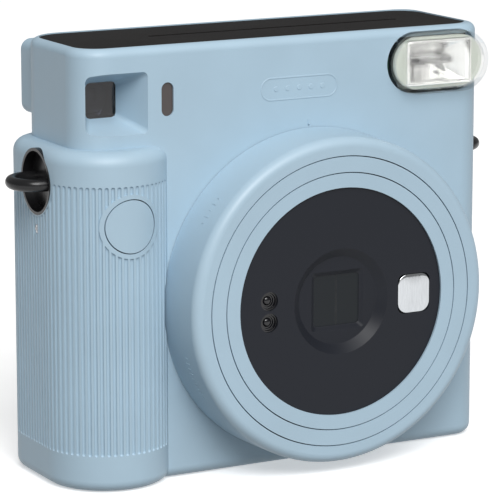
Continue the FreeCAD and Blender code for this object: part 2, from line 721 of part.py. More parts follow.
def film_door():
    """The back door: a flat panel on a barrel hinge, with two windows and the latch recess."""
    low, high = s.door_low, s.door_high
    inner = back - s.wall
    panel = box("door_panel", (door_left, door_right_edge - s.door_clear), (inner, back), (low, high))
    panel = round_edges("door_panel_round", panel, 3.0,
                        lambda e: along_y(e) and e.Vertexes[0].X < door_left.value + 1)
    z0 = low + s.knuckle_length / 2 + s.part_gap
    z1 = high - s.knuckle_length / 2 - s.part_gap
    bridge = box("door_bridge", (door_right_edge - 2, hinge_x), (inner, back), (z0, z1))
    barrel = door_barrel("door_barrel", hinge, z0, z1)
    blank = fuse("door_blank", panel, bridge, barrel)
    window_hole = box("film_window_hole",
                      (film_window[0] - s.film_window_width / 2, film_window[0] + s.film_window_width / 2),
                      (inner - 1, back + 1),
                      (film_window[1] - s.film_window_height / 2, film_window[1] + s.film_window_height / 2))
    window_hole = round_edges("film_window_hole_round", window_hole, 2.0, along_y)
    tools = [
        rod("door_bore", "z", hinge, (low, high), s.pin_radius + s.running_gap),
        window_hole,
        rod("counter_hole", "y", counter, (inner - 1, back + 1), s.counter_radius),
        box("latch_recess", (latch_x - s.slide_gap, latch_x + s.latch_width + s.slide_gap),
            (back - 1, back + 1),
            (s.latch_z - s.slide_gap, s.latch_z + s.latch_length + s.latch_travel + s.slide_gap)),
    ]
    hub = rod("counter_hub", "y", counter_centre, (inner - 0.9, inner + 0.1), s.dial_hub_radius)
    return piece("film_door", fuse("film_door_made", cut("film_door_shell", blank, *tools), hub))


film_door()
piece("film_door_pin", rod("door_pin", "z", hinge, (s.door_low - 0.5, s.door_high + 0.5), s.pin_radius))

pane = box("film_window_block",
           (film_window[0] - s.film_window_width / 2, film_window[0] + s.film_window_width / 2),
           (back - s.wall, back - 0.4),
           (film_window[1] - s.film_window_height / 2, film_window[1] + s.film_window_height / 2))
piece("film_window", round_edges("film_window_pane", pane, 2.0, along_y))
piece("counter_window", rod("counter_pane", "y", counter, (back - 0.9, back - 0.2), s.counter_radius))

dial_y = (back - s.wall - 0.9, back - s.wall - 0.15)
dial_blank = rod("counter_disc", "y", counter_centre, dial_y, s.dial_radius)
dial_bore = rod("counter_bore", "y", counter_centre, (dial_y[0] - 1, dial_y[1] + 1),
                s.dial_hub_radius + s.running_gap)
piece("counter_dial", cut("counter_dial_made", dial_blank, dial_bore))


def latch():
    """The door latch: a ridged slider in its recess."""
    body_y = (back - 1 + s.running_gap, back + 0.5)
    plate = box("latch_plate", (latch_x, latch_x + s.latch_width), body_y,
                (s.latch_z, s.latch_z + s.latch_length))
    ridges = [box("latch_ridge%d" % n, (latch_x + 0.8, latch_x + s.latch_width - 0.8),
                  (back + 0.3, back + 1.1),
                  (s.latch_z + 2 + 1.7 * n, s.latch_z + 2.8 + 1.7 * n)) for n in range(5)]
    return piece("film_latch", fuse("film_latch_made", plate, *ridges))


latch()


def pack_springs():
    """Two bowed leaf springs on the door that press the film pack forward."""
    seat = back - s.wall
    tip = s.pack_front + s.pack_depth + 0.1
    thickness = 0.3
    leaves = []
    for n, offset in enumerate((-22, 22)):
        x0 = (film_x + offset - 4).value
        low, high = (s.lens_height - 14).value, (s.lens_height + 2).value
        outer = [V(x0, seat.value, low), V(x0, tip.value, (low + high) / 2), V(x0, seat.value, high)]
        inner = [V(x0, seat.value, high - 1.2), V(x0, tip.value + thickness, (low + high) / 2),
                 V(x0, seat.value, low + 1.2)]
        edges = [Part.Arc(*outer).toShape(), Part.LineSegment(outer[2], inner[0]).toShape(),
                 Part.Arc(*inner).toShape(), Part.LineSegment(inner[2], outer[0]).toShape()]
        leaves.append(Part.Face(Part.Wire(edges)).extrude(V(8, 0, 0)))
    return piece("pack_springs", fixed_shape("pack_spring_pair", Part.Compound(leaves)))


pack_springs()


# ---------------------------------------------------------------- lens barrels

def control_ring():
    """The twist ring: a wide collar in front of the body with a skirt that runs inside it."""
    ring_back = front - s.part_gap
    skirt_end = mount_back - s.mount_floor - s.part_gap
    ring = turned("control_ring_body", [
        (s.ring_bore, ring_front), (s.ring_radius - s.ring_taper, ring_front),
        (s.ring_radius, ring_back), (skirt_outer, ring_back),
        (skirt_outer, skirt_end), (s.ring_bore, skirt_end)], lens)
    doc.recompute()
    radius = (s.ring_radius - s.ring_taper).value
    edge = [n for n, e in enumerate(ring.Shape.Edges, start=1)
            if isinstance(e.Curve, Part.Circle) and near(e.Curve.Radius, radius)][0]
    spin = ring.Tip
    bead = ring.newObject("PartDesign::Fillet", "control_ring_edge")
    bead.Base = (spin, ["Edge%d" % edge])
    bind(bead, "Radius", s.ring_edge)
    ring.Tip = bead
    return piece("control_ring", ring)


control_ring()

piece("middle_barrel", turned("middle_barrel_body", [
    (middle_bore, ring_front), (middle_outer, ring_front),
    (middle_outer, ring_front + s.middle_length), (middle_bore, ring_front + s.middle_length)], lens))

barrel_end = mount_back - s.mount_floor - s.part_gap
inner_turned = turned("inner_barrel_body", [
    (s.face_radius, ring_front), (inner_outer, ring_front), (inner_outer, barrel_end),
    (inner_bore, barrel_end), (inner_bore, web_back), (s.glass_radius + s.cell_wall, web_back),
    (s.glass_radius + s.cell_wall, web_front),
    (inner_bore, web_front), (inner_bore, face_back), (s.face_radius, face_back)], lens)
pivot = (lens_x + 6.0, s.lens_height - 11.0)
pivot_post = rod("shutter_post", "y", pivot, (web_back - 0.5, web_front + s.cell_length + 1),
                 s.pivot_radius)
piece("inner_barrel", fuse("inner_barrel_made", inner_turned, pivot_post))


def lens_mount():
    """The fixed mount behind the ring: a dished plate with the guide tube for the inner barrel."""
    rim_outer = skirt_outer + s.part_gap + 2.2
    floor_front = mount_back - s.mount_floor
    hub = s.glass_radius + s.cell_wall + 2
    tube_end = web_back + s.part_gap
    return piece("lens_mount", turned("lens_mount_body", [
        (hub, floor_front), (guide_bore, floor_front), (guide_bore, tube_end), (guide_outer, tube_end),
        (guide_outer, floor_front), (skirt_outer + s.part_gap, floor_front),
        (skirt_outer + s.part_gap, mount_front), (rim_outer, mount_front), (rim_outer, mount_back),
        (hub, mount_back)], lens))


lens_mount()


def lens_face():
    """The black front disc: a shallow hood with a square gate, two sensor holes and the mirror pocket."""
    disc = rod("face_disc", "y", lens, (face_front, face_back), s.face_radius)
    hood_floor = face_front + s.lens_hood_depth
    hood = taper("face_hood", "y", lens, (face_front, hood_floor), s.lens_hood_radius, s.lens_hood_floor)
    gate = funnel("face_gate_wedge", lens, (hood_floor - 0.01, face_back + 0.01),
                  (s.gate_size / 2 + 1.2, s.gate_size / 2 + 1.2), (s.gate_size / 2, s.gate_size / 2))
    gate = round_edges("face_gate", gate, 1.8, along_y)
    holes = [rod("sensor_hole%d" % n, "y",
                 (lens_x - s.sensor_offset, s.lens_height + s.sensor_raise - n * s.sensor_pitch),
                 (face_front - 1, face_back - 0.6), s.sensor_radius) for n in (0, 1)]
    mirror_x = lens_x + s.mirror_offset
    pocket = box("mirror_pocket_block",
                 (mirror_x - s.mirror_width / 2 - 0.1, mirror_x + s.mirror_width / 2 + 0.1),
                 (face_front - 1, face_front + s.mirror_thick),
                 (s.lens_height - s.mirror_height / 2 - 0.1, s.lens_height + s.mirror_height / 2 + 0.1))
    pocket = round_edges("mirror_pocket", pocket, 2.1, along_y)
    piece("lens_face", cut("lens_face_made", disc, hood, gate, holes[0], holes[1], pocket))
    mirror = box("mirror_block", (mirror_x - s.mirror_width / 2, mirror_x + s.mirror_width / 2),
                 (face_front, face_front + s.mirror_thick),
                 (s.lens_height - s.mirror_height / 2, s.lens_height + s.mirror_height / 2))
    piece("selfie_mirror", round_edges("mirror_round", mirror, 2.0, along_y))
    eyes = [rod("sensor_eye%d" % n, "y",
                (lens_x - s.sensor_offset, s.lens_height + s.sensor_raise - n * s.sensor_pitch),
                (face_back - 1.3, face_back - 0.6), s.sensor_radius) for n in (0, 1)]
    pair = doc.addObject("Part::Compound", "sensor_eye_pair")
    pair.Links = eyes
    piece("metering_lenses", pair)


lens_face()

for side_name, sign in (("left", -1), ("right", 1)):
    spread = (lens_x - s.door_width, lens_x - 0.05) if sign < 0 else (lens_x + 0.05, lens_x + s.door_width)
    blade = box("barrier_blade_" + side_name, spread, (door_front, door_back),
                (s.lens_height - s.door_height / 2, s.lens_height + s.door_height / 2))
    piece("barrier_" + side_name, blade)


def taking_lens():
    """The lens cell behind the doors, two glass elements and the shutter blade."""
    bore = s.glass_radius
    outer = bore + s.cell_wall
    cell_back = web_front + s.cell_length
    piece("lens_cell", turned("lens_cell_body", [
        (bore, web_front), (outer, web_front), (outer, cell_back), (bore - 3, cell_back),
        (bore - 3, cell_back - 1.2), (bore, cell_back - 1.2)], lens))
    reach = bore * 2.2
    for name, near_y, far_y in (("front_element", web_front, web_front + 3.4),
                                ("rear_element", cell_back - 4.2, cell_back - 1.2)):
        ball = doc.addObject("Part::Sphere", name + "_ball")
        bind(ball, "Radius", reach)
        place(ball, lens_x, dim(near_y) + reach, s.lens_height)
        slug = rod(name + "_slug", "y", lens, (dim(near_y) - 1, far_y), bore)
        piece(name, common(name + "_glass", ball, slug))
    return cell_back


cell_back = taking_lens()
shutter_y = (cell_back + 0.2, cell_back + 0.6)
blade_disc = rod("shutter_disc", "y", lens, shutter_y, 6.5)
blade_arm = box("shutter_arm", (pivot[0] - 2, pivot[0] + 1.6), shutter_y, (pivot[1] - 1.6, s.lens_height))
blade_bore = rod("shutter_bore", "y", pivot, (cell_back - 2, cell_back + 4), s.pivot_radius + s.running_gap)
piece("shutter_blade", cut("shutter_blade_made", fuse("shutter_blank", blade_disc, blade_arm), blade_bore))


# ---------------------------------------------------------------- shutter button

button = (grip_x, s.button_height)
flange_radius = s.button_radius + s.flange_lip
grip_inside = s.grip_radius - s.wall
skin_bulge = grip_inside - root(grip_inside * grip_inside - flange_radius * flange_radius)
flange_front = front - s.grip_proud + s.wall + skin_bulge + s.flange_clear
button_rod = rod("button_rod", "y", button, (front - 10, flange_front), s.button_radius)
button_skin = rod("button_skin", "z", (grip_x, grip_y),
                  (s.button_height - 12, s.button_height + 12), s.grip_radius)
button_head = common("button_head", button_rod, button_skin)
button_flange = rod("button_flange_disc", "y", button, (flange_front, flange_front + s.button_flange),
                    flange_radius)
piece("shutter_button", fuse("shutter_button_made", button_head, button_flange))


def shutter_spring():
    """The coil spring between the button's flange and the switch."""
    wire, radius, pitch = s.spring_wire.value, s.spring_coil.value, s.spring_pitch.value
    steps_per_turn = 12
    turns = s.spring_length.value / pitch
    start = (flange_front + s.button_flange).value + wire
    path = []
    for step in range(int(round(turns * steps_per_turn)) + 1):
        angle = 2 * math.pi * step / steps_per_turn
        path.append(V(radius * math.cos(angle), radius * math.sin(angle), pitch * step / steps_per_turn))
    line = Part.BSplineCurve()
    line.interpolate(path)
    section = Part.Wire(Part.makeCircle(wire, path[0], V(0, 2 * math.pi * radius, pitch)))
    coil = Part.Wire(line.toShape()).makePipeShell([section], True, True)
    coil.Placement = FreeCAD.Placement(V(button[0].value, start, button[1].value), AXIS_TURN["y"])
    return piece("shutter_spring", fixed_shape("shutter_coil", coil))


shutter_spring()
spring_seat = flange_front + s.button_flange + s.spring_length + 2 * s.spring_wire

# ---------------------------------------------------------------- inside the grip

frame_front = s.battery_y - s.cell_radius - s.bay_wall - s.grip_frame_thick - 0.3
frame_back = frame_front + s.grip_frame_thick
frame_plate = box("grip_frame_plate", (left + s.wall, s.board_x), (frame_front, frame_back),
                  (s.wall, s.grip_height - s.wall))
frame_notch = rod("grip_frame_notch", "x", (s.lug_y, s.lug_height), (left, left + s.lug_depth + s.part_gap),
                  s.lug_radius + s.part_gap)
piece("grip_frame", cut("grip_frame_made", frame_plate, frame_notch))
piece("shutter_switch", box("switch_block", (grip_x - 6, grip_x + 6), (spring_seat, frame_front),
                            (s.button_height - 6, s.button_height + 6)))
piece("flash_capacitor", rod("capacitor_can", "z", (grip_x - 1, frame_front - s.capacitor_radius),
                             (s.battery_low, s.battery_low + s.capacitor_length), s.capacitor_radius))
bay = (battery_x, s.battery_y)
bay_low = s.battery_low - s.contact_thick - s.bay_wall
bay_inside_top = s.battery_low + 2 * s.battery_length + 0.3 + s.contact_thick
bay_half = s.cell_radius + 0.25
bay_block = box("bay_block", (battery_x - bay_half - 0.6, battery_x + bay_half + s.bay_wall),
                (frame_back, s.battery_y + 3), (bay_low, bay_inside_top + s.bay_wall))
bay_bore = rod("bay_bore", "z", bay, (bay_low + s.bay_wall, bay_inside_top), bay_half)
bay_mouth = box("bay_mouth", (battery_x - bay_half, battery_x + bay_half), (s.battery_y, back),
                (bay_low + s.bay_wall, bay_inside_top))
piece("battery_bay", cut("battery_bay_made", bay_block, bay_bore, bay_mouth))
cells = []
for count in (0, 1):
    base = s.battery_low + count * (s.battery_length + 0.3)
    can = rod("cell_can%d" % count, "z", bay, (base, base + s.battery_length - 1.2), s.cell_radius)
    nub = rod("cell_nub%d" % count, "z", bay, (base, base + s.battery_length), 3.0)
    cells.append(fuse("cell%d" % count, can, nub))
cell_pair = doc.addObject("Part::Compound", "cell_pair")
cell_pair.Links = cells
piece("battery_cells", cell_pair)
contact_pair = doc.addObject("Part::Compound", "contact_pair")
contact_pair.Links = [
    rod("contact_low", "z", bay, (s.battery_low - s.contact_thick, s.battery_low), 5.0),
    rod("contact_high", "z", bay, (bay_inside_top - s.contact_thick, bay_inside_top), 4.0),
]
piece("battery_contacts", contact_pair)
piece("main_board", box("main_board_plate", (s.board_x - s.board_thick, s.board_x),
                        (frame_back, frame_back + 15), (8, s.grip_height - 4)))


# ---------------------------------------------------------------- viewfinder and metering window

piece("viewfinder_window", box("finder_glass",
                               (s.finder_x - s.window_width / 2 - 1, s.finder_x + s.window_width / 2 + 1),
                               (window_front, window_front + s.window_thick),
                               (s.finder_z - s.window_height / 2 - 1, s.finder_z + s.window_height / 2 + 1)))
tube_front = window_front + s.window_thick
tube_outer = box("finder_tube_outer",
                 (s.finder_x - s.window_width / 2 - 1.2, s.finder_x + s.window_width / 2 + 1.2),
                 (tube_front, back - s.wall - s.eyecup_root - s.part_gap),
                 (s.finder_z - s.window_height / 2 - 1.2, s.finder_z + s.window_height / 2 + 1.2))
tube_inner = box("finder_tube_inner", (s.finder_x - s.window_width / 2, s.finder_x + s.window_width / 2),
                 (tube_front - 1, back),
                 (s.finder_z - s.window_height / 2, s.finder_z + s.window_height / 2))
piece("viewfinder_tube", cut("viewfinder_tube_made", tube_outer, tube_inner))
piece("metering_window", pill("metering_pane", (s.pill_x, s.pill_z), s.pill_width, s.pill_height,
                              (front + 0.6, front + 2.4)))


# ---------------------------------------------------------------- flash

def flash_unit():
    """Clear cover, bright reflector, glow tube and the housing that holds them."""
    span_x = (s.flash_left, s.flash_right)
    housing_y = (front + s.wall, front + s.flash_back)
    cover = stadium("flash_cover_blank", span_x, s.flash_z, s.flash_height,
                    (front - s.flash_proud, front + s.wall))
    hollow_x = (s.flash_left + s.flash_wall, s.flash_right - s.flash_wall)
    hollow = stadium("flash_cover_hollow", hollow_x, s.flash_z,
                     s.flash_height - 2 * s.flash_wall, (front - s.flash_proud + s.flash_wall, front + 3.0))
    piece("flash_cover", cut("flash_cover_made", cover, hollow))
    half_z = s.reflector_height / 2
    mouth = (s.reflector_left, s.reflector_right)
    rim = half_z + s.housing_wall
    body_shape = box("flash_housing_blank", (mouth[0] - s.housing_wall, mouth[1] + s.housing_wall), housing_y,
                     (s.flash_z - rim, s.flash_z + rim))
    seat = box("flash_seat", mouth, (front, front + s.flash_back - 1),
               (s.flash_z - half_z, s.flash_z + half_z))
    piece("flash_housing", cut("flash_housing_made", body_shape, seat))
    reflector_y = (front - s.flash_proud + s.flash_wall + 0.8, front + s.flash_back - 1)
    trough = box("reflector_block", mouth, reflector_y, (s.flash_z - half_z, s.flash_z + half_z))
    middle_x = (s.reflector_left + s.reflector_right) / 2
    half_x = (s.reflector_right - s.reflector_left) / 2
    bowl = funnel("reflector_bowl", (middle_x, s.flash_z), (reflector_y[0] - 0.01, reflector_y[1] - 0.6),
                  (half_x - 0.5, half_z - 0.5), (half_x - 2.2, s.tube_radius + 0.6))
    end_holes = rod("reflector_tube_hole", "x", (reflector_y[1] - 2.6, s.flash_z),
                    (s.reflector_left - 1, s.reflector_right + 1), s.tube_radius)
    piece("flash_reflector", cut("flash_reflector_made", trough, bowl, end_holes))
    piece("flash_tube", rod("flash_tube_glass", "x", (reflector_y[1] - 2.6, s.flash_z),
                            mouth, s.tube_radius))
    piece("flash_board", box("flash_board_plate", (s.flash_left, chamber_right - 0.6),
                             (front + s.flash_back, front + s.flash_back + s.board_thick),
                             (s.flash_z - 8, s.flash_z + 5)))


flash_unit()


# ---------------------------------------------------------------- film path

def dark_box():
    """The light-tight cone from the lens to the film, with the frame that the film lies against."""
    half = s.image_size / 2
    flange = box("gate_plate", (chamber_left, chamber_right), (gate_front, gate_back),
                 (s.wall, chamber_top))
    outer = funnel("dark_cone", lens, (mount_back, gate_front), (15.5, 15.5), (half + 1.5, half + 1.5))
    inner = funnel("dark_cone_room", lens, (mount_back - 0.01, gate_front + 0.01), (14, 14), (half, half))
    hole = box("gate_hole", (lens_x - half, lens_x + half), (gate_front, gate_back + 1),
               (s.lens_height - half, s.lens_height + half))
    return piece("dark_box", cut("dark_box_made", fuse("dark_box_blank", flange, outer), inner, hole))


dark_box()
frame_y = (gate_back, s.pack_front + s.pack_depth)
frame_outer = box("chamber_outer", (chamber_left, chamber_right), frame_y, (s.wall, chamber_top))
frame_inner = box("chamber_inner", (chamber_left + s.frame_wall, chamber_right - s.frame_wall),
                  (gate_back - 1, back), (s.wall + s.frame_wall, chamber_top + 1))
piece("film_chamber", cut("film_chamber_made", frame_outer, frame_inner))
pack_left = film_x - s.pack_width / 2
pack_right = film_x + s.pack_width / 2
pack_block = box("pack_block", (pack_left, pack_right), (s.pack_front, s.pack_front + s.pack_depth),
                 (pack_low, pack_low + s.pack_height))
pack_mask = box("pack_mask", (lens_x - 31, lens_x + 31), (s.pack_front - 1, s.pack_front + 0.8),
                (s.lens_height - 31, s.lens_height + 31))
piece("film_pack", cut("film_pack_made", pack_block, pack_mask))
seal_outer = box("seal_outer", (chamber_left, chamber_right),
                 (s.pack_front + s.pack_depth, back - s.wall - 0.1), (s.wall + 4, chamber_top - 2.5))
seal_inner = box("seal_inner", (chamber_left + 1.2, chamber_right - 1.2), (0, back),
                 (s.wall + 5.2, chamber_top - 3.7))
piece("light_seal", cut("light_seal_made", seal_outer, seal_inner))

roller_reach = s.roller_radius + s.nip / 2
roller_y = {"front": s.slot_y - roller_reach, "rear": s.slot_y + roller_reach}
bracket_low = s.motor_z - s.motor_radius - 1
gear_left = chamber_right + s.bracket_thick + s.gear_stand_off
gear_span = (gear_left, gear_left + s.gear_width)
roller_span = (chamber_left + 0.3, chamber_right - 0.3)


def idler_centre():
    """Where the idler meshes with the motor pinion and with the front roller's gear."""
    half = s.gear_module / 2
    near_reach = half * (s.pinion_teeth + s.idler_teeth)
    far_reach = half * (s.idler_teeth + s.roller_teeth)
    dy = (roller_y["front"] - s.motor_y).value
    dz = (s.roller_z - s.motor_z).value
    span = math.hypot(dy, dz)
    along = (near_reach.value ** 2 - far_reach.value ** 2 + span ** 2) / (2 * span)
    off = math.sqrt(near_reach.value ** 2 - along ** 2)
    return (s.motor_y + dim((dy * along - dz * off) / span), s.motor_z + dim((dz * along + dy * off) / span))


idler = idler_centre()


def gear_shape(teeth, phase, across, span, bore):
    """A spur gear with straight-sided teeth, thin enough to run free in its mate."""
    count = int(teeth.value)
    module = s.gear_module.value
    pitch_radius = module * count / 2
    root, tip = pitch_radius - 1.2 * module, pitch_radius + 0.75 * module
    corners = []
    for n in range(count):
        middle = phase + 2 * math.pi * n / count
        for radius, half_width in ((root, 0.9), (tip, 0.32)):
            corners.append((radius, middle - half_width * module / pitch_radius))
        for radius, half_width in ((tip, 0.32), (root, 0.9)):
            corners.append((radius, middle + half_width * module / pitch_radius))
    y0, z0 = dim(across[0]).value, dim(across[1]).value
    x0 = dim(span[0]).value
    points = [V(x0, y0 + r * math.cos(a), z0 + r * math.sin(a)) for r, a in corners]
    face = Part.Face(Part.makePolygon(points + [points[0]]))
    blank = face.extrude(V(dim(span[1] - span[0]).value, 0, 0))
    if bore is None:
        return blank
    return blank.cut(Part.makeCylinder(dim(bore).value, 20, V(x0 - 5, y0, z0), V(1, 0, 0)))


def mesh_phase(centre, mate, teeth, mate_teeth, mate_phase):
    """The turn that puts a tooth gap of this gear on a tooth of its mate."""
    angle = math.atan2((mate[1] - centre[1]).value, (mate[0] - centre[0]).value)
    mate_pitch = 2 * math.pi / mate_teeth.value
    mate_offset = (angle + math.pi - mate_phase) / mate_pitch
    lag = mate_offset - math.floor(mate_offset)
    own_pitch = 2 * math.pi / teeth.value
    return angle + own_pitch * (lag + 0.5)


def gear_train():
    """Motor pinion, idler and the two roller gears, set tooth in gap."""
    front_axis = (roller_y["front"], s.roller_z)
    rear_axis = (roller_y["rear"], s.roller_z)
    motor_axis = (s.motor_y, s.motor_z)
    front_phase = 0.0
    rear_phase = mesh_phase(rear_axis, front_axis, s.roller_teeth, s.roller_teeth, front_phase)
    idler_phase = mesh_phase(idler, front_axis, s.idler_teeth, s.roller_teeth, front_phase)
    pinion_phase = mesh_phase(motor_axis, idler, s.pinion_teeth, s.idler_teeth, idler_phase)
    piece("roller_gear_front", fixed_shape("gear_front", gear_shape(
        s.roller_teeth, front_phase, front_axis, gear_span, s.shaft_radius)))
    piece("roller_gear_rear", fixed_shape("gear_rear", gear_shape(
        s.roller_teeth, rear_phase, rear_axis, gear_span, s.shaft_radius)))
    piece("idler_gear", fixed_shape("gear_idler", gear_shape(
        s.idler_teeth, idler_phase, idler, gear_span, 1.2 + s.running_gap)))
    pinion = gear_shape(s.pinion_teeth, pinion_phase, motor_axis, gear_span, None)
    stem_start = (chamber_right - 0.1).value
    stem = Part.makeCylinder(0.8, gear_span[0].value - stem_start + 0.5,
                             V(stem_start, s.motor_y.value, s.motor_z.value), V(1, 0, 0))
    piece("motor_pinion", fixed_shape("gear_pinion", pinion.fuse(stem).removeSplitter()))


gear_train()

for name in ("front", "rear"):
    axis = (roller_y[name], s.roller_z)
    body = turned("roller_%s_body" % name, [
        (0, chamber_left - s.bracket_thick), (s.shaft_radius, chamber_left - s.bracket_thick),
        (s.shaft_radius, roller_span[0]), (s.roller_radius, roller_span[0]),
        (s.roller_radius, roller_span[1]),
        (s.shaft_radius, roller_span[1]), (s.shaft_radius, gear_span[1]), (0, gear_span[1])], axis, axis="x")
    piece("roller_" + name, body)

flap_axis = (s.flap_axis_y, s.flap_axis_z)
bracket_y = (front + s.flash_back + 0.3, 9)


def bracket(side, span):
    """A side plate that carries the rollers and the exit flap."""
    top = cavity_top
    low = bracket_low if side == "right" else chamber_top - 12
    plate = box("bracket_plate_" + side, span, bracket_y, (low, top))
    reach = (span[0] - 1, span[1] + 1)
    bores = [rod("bracket_bore_%s_%s" % (side, n), "x", (roller_y[n], s.roller_z), reach,
                 s.shaft_radius + s.running_gap) for n in ("front", "rear")]
    bores.append(rod("bracket_flap_bore_" + side, "x", flap_axis, reach, 0.6 + s.running_gap))
    if side == "right":
        bores.append(rod("bracket_motor_bore", "x", (s.motor_y, s.motor_z), reach, 1.2))
        stub = rod("idler_stub", "x", idler, (span[1], gear_span[1] + 0.4), 1.2)
        plate = fuse("bracket_blank", plate, stub)
    return piece("roller_bracket_" + side, cut("roller_bracket_made_" + side, plate, *bores))


bracket("left", (chamber_left - s.bracket_thick, chamber_left))
bracket("right", (chamber_right, chamber_right + s.bracket_thick))
piece("eject_motor", rod("motor_can", "x", (s.motor_y, s.motor_z),
                         (chamber_right - s.motor_length, chamber_right - 0.1), s.motor_radius))


def exit_flap():
    """The light flap under the exit slot: it leans across the film's path from a pivot below."""
    blade_x = (film_x - s.slot_length / 2 - 0.5, film_x + s.slot_length / 2 + 0.5)
    lean = math.radians(s.flap_lean.value)
    half = s.flap_thick.value / 2
    reach = s.flap_length.value
    y0, z0 = s.flap_axis_y.value, s.flap_axis_z.value
    along = V(0, -math.sin(lean), math.cos(lean))
    across = V(0, math.cos(lean), math.sin(lean))
    base = V(blade_x[0].value, y0, z0)
    corners = [base - across * half, base + across * half, base + across * half + along * reach,
               base - across * half + along * reach]
    outline = Part.Face(Part.makePolygon(corners + [corners[0]]))
    blade = outline.extrude(V((blade_x[1] - blade_x[0]).value, 0, 0))
    tube = Part.makeCylinder(0.8, (blade_x[1] - blade_x[0]).value, base, V(1, 0, 0))
    pin_start = V((chamber_left - s.bracket_thick).value, y0, z0)
    pin_length = (chamber_right - chamber_left + 2 * s.bracket_thick).value
    pin = Part.makeCylinder(0.6, pin_length, pin_start, V(1, 0, 0))
    return piece("exit_flap", fixed_shape("exit_flap_blade", blade.fuse([tube, pin]).removeSplitter()))


exit_flap()


# ---------------------------------------------------------------- check and export

def check_and_export():
    """Stops on any failed object or bad shape, then writes one STEP file for each sub-part."""
    doc.recompute()
    for obj in doc.Objects:
        if "Invalid" in obj.State or "Error" in obj.State:
            raise RuntimeError("%s failed: %s" % (obj.Name, obj.State))
    for name, obj in nodes.items():
        shape = obj.Shape
        if shape.isNull() or not shape.isValid() or not shape.Solids:
            raise RuntimeError("%s has no valid solid" % name)
    os.makedirs("parts", exist_ok=True)
    for name, obj in nodes.items():
        obj.Shape.exportStep("parts/%s.step" % name)
        print("%-20s %2d solid(s) %10.1f mm3" % (name, len(obj.Shape.Solids), obj.Shape.Volume))


check_and_export()
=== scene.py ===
"""Square-format instant camera: its finishes, glass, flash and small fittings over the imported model.

Places are in metres in the model's own frame: seen from the front, X runs to the right, Y to the back, Z up.
Order: tools, surface effects, finishes, mesh tools, the camera's own pieces, floor, lights and camera.
"""
import json
import math
import bmesh
import bpy
from mathutils import Matrix, Vector


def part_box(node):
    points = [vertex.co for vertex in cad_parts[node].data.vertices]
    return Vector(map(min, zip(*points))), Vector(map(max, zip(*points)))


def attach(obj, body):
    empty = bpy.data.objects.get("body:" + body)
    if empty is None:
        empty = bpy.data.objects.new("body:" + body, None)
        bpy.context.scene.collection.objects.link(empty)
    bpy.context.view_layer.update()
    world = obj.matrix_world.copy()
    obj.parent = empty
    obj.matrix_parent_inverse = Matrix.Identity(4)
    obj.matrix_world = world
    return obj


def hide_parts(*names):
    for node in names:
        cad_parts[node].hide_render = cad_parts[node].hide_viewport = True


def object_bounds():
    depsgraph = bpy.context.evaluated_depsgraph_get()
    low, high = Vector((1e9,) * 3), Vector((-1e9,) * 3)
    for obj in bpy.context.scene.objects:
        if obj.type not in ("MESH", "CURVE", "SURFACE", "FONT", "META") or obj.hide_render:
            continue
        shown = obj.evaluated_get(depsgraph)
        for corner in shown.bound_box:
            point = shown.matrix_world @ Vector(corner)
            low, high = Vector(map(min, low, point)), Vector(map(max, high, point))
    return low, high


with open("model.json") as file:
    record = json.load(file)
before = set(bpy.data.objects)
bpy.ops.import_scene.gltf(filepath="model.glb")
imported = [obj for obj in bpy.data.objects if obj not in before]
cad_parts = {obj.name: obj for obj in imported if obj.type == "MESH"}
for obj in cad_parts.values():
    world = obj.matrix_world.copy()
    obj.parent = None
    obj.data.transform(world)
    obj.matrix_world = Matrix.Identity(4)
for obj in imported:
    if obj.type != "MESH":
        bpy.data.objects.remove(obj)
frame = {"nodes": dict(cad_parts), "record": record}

MM = 0.001
FRONTWARD, REARWARD = -1.0, 1.0
cad_nodes = frame["nodes"]
cad_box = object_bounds()


# ---------------------------------------------------------------- shader tools

def feed(tree, socket, source):
    """Gives a socket its source: another socket, or a plain value."""
    if isinstance(source, bpy.types.NodeSocket):
        tree.links.new(source, socket)
    else:
        socket.default_value = source


def shader_node(tree, kind, **settings):
    made = tree.nodes.new("ShaderNode" + kind)
    for key, value in settings.items():
        setattr(made, key, value)
    return made


def calculate(tree, operation, first, second=0.0, clamp=False):
    """One sum, product, difference or power of two values."""
    made = shader_node(tree, "Math", operation=operation, use_clamp=clamp)
    feed(tree, made.inputs[0], first)
    feed(tree, made.inputs[1], second)
    return made.outputs[0]


def spread(tree, value, low, high, start, end):
    """Maps low..high of a value to start..end, and holds it there."""
    made = shader_node(tree, "MapRange")
    for socket, source in zip(made.inputs, (value, low, high, start, end)):
        feed(tree, socket, source)
    return made.outputs[0]


def blend_colour(tree, share, first, second):
    made = shader_node(tree, "Mix", data_type="RGBA")
    feed(tree, made.inputs[0], share)
    feed(tree, made.inputs[6], first)
    feed(tree, made.inputs[7], second)
    return made.outputs[2]


def start_effect(name, inputs, outputs):
    """An empty shader group with named sockets."""
    tree = bpy.data.node_groups.new(name, "ShaderNodeTree")
    for label, value in inputs:
        tree.interface.new_socket(label, in_out="INPUT", socket_type="NodeSocketFloat").default_value = value
    for label in outputs:
        tree.interface.new_socket(label, in_out="OUTPUT", socket_type="NodeSocketFloat")
    return tree, tree.nodes.new("NodeGroupInput").outputs, tree.nodes.new("NodeGroupOutput").inputs


def place_in_mm(tree, stretch=(1.0, 1.0, 1.0)):
    """The surface point in millimetres, stretched along the model's axes."""
    point = shader_node(tree, "TexCoord").outputs["Object"]
    scaled = shader_node(tree, "VectorMath", operation="MULTIPLY")
    feed(tree, scaled.inputs[0], point)
    scaled.inputs[1].default_value = [1000.0 * share for share in stretch]
    return scaled.outputs[0]


def noise(tree, point, per_mm, detail=2.0, roughness=0.5):
    made = shader_node(tree, "TexNoise")
    feed(tree, made.inputs["Vector"], point)
    feed(tree, made.inputs["Scale"], per_mm)
    made.inputs["Detail"].default_value = detail
    made.inputs["Roughness"].default_value = roughness
    return made.outputs["Fac"]


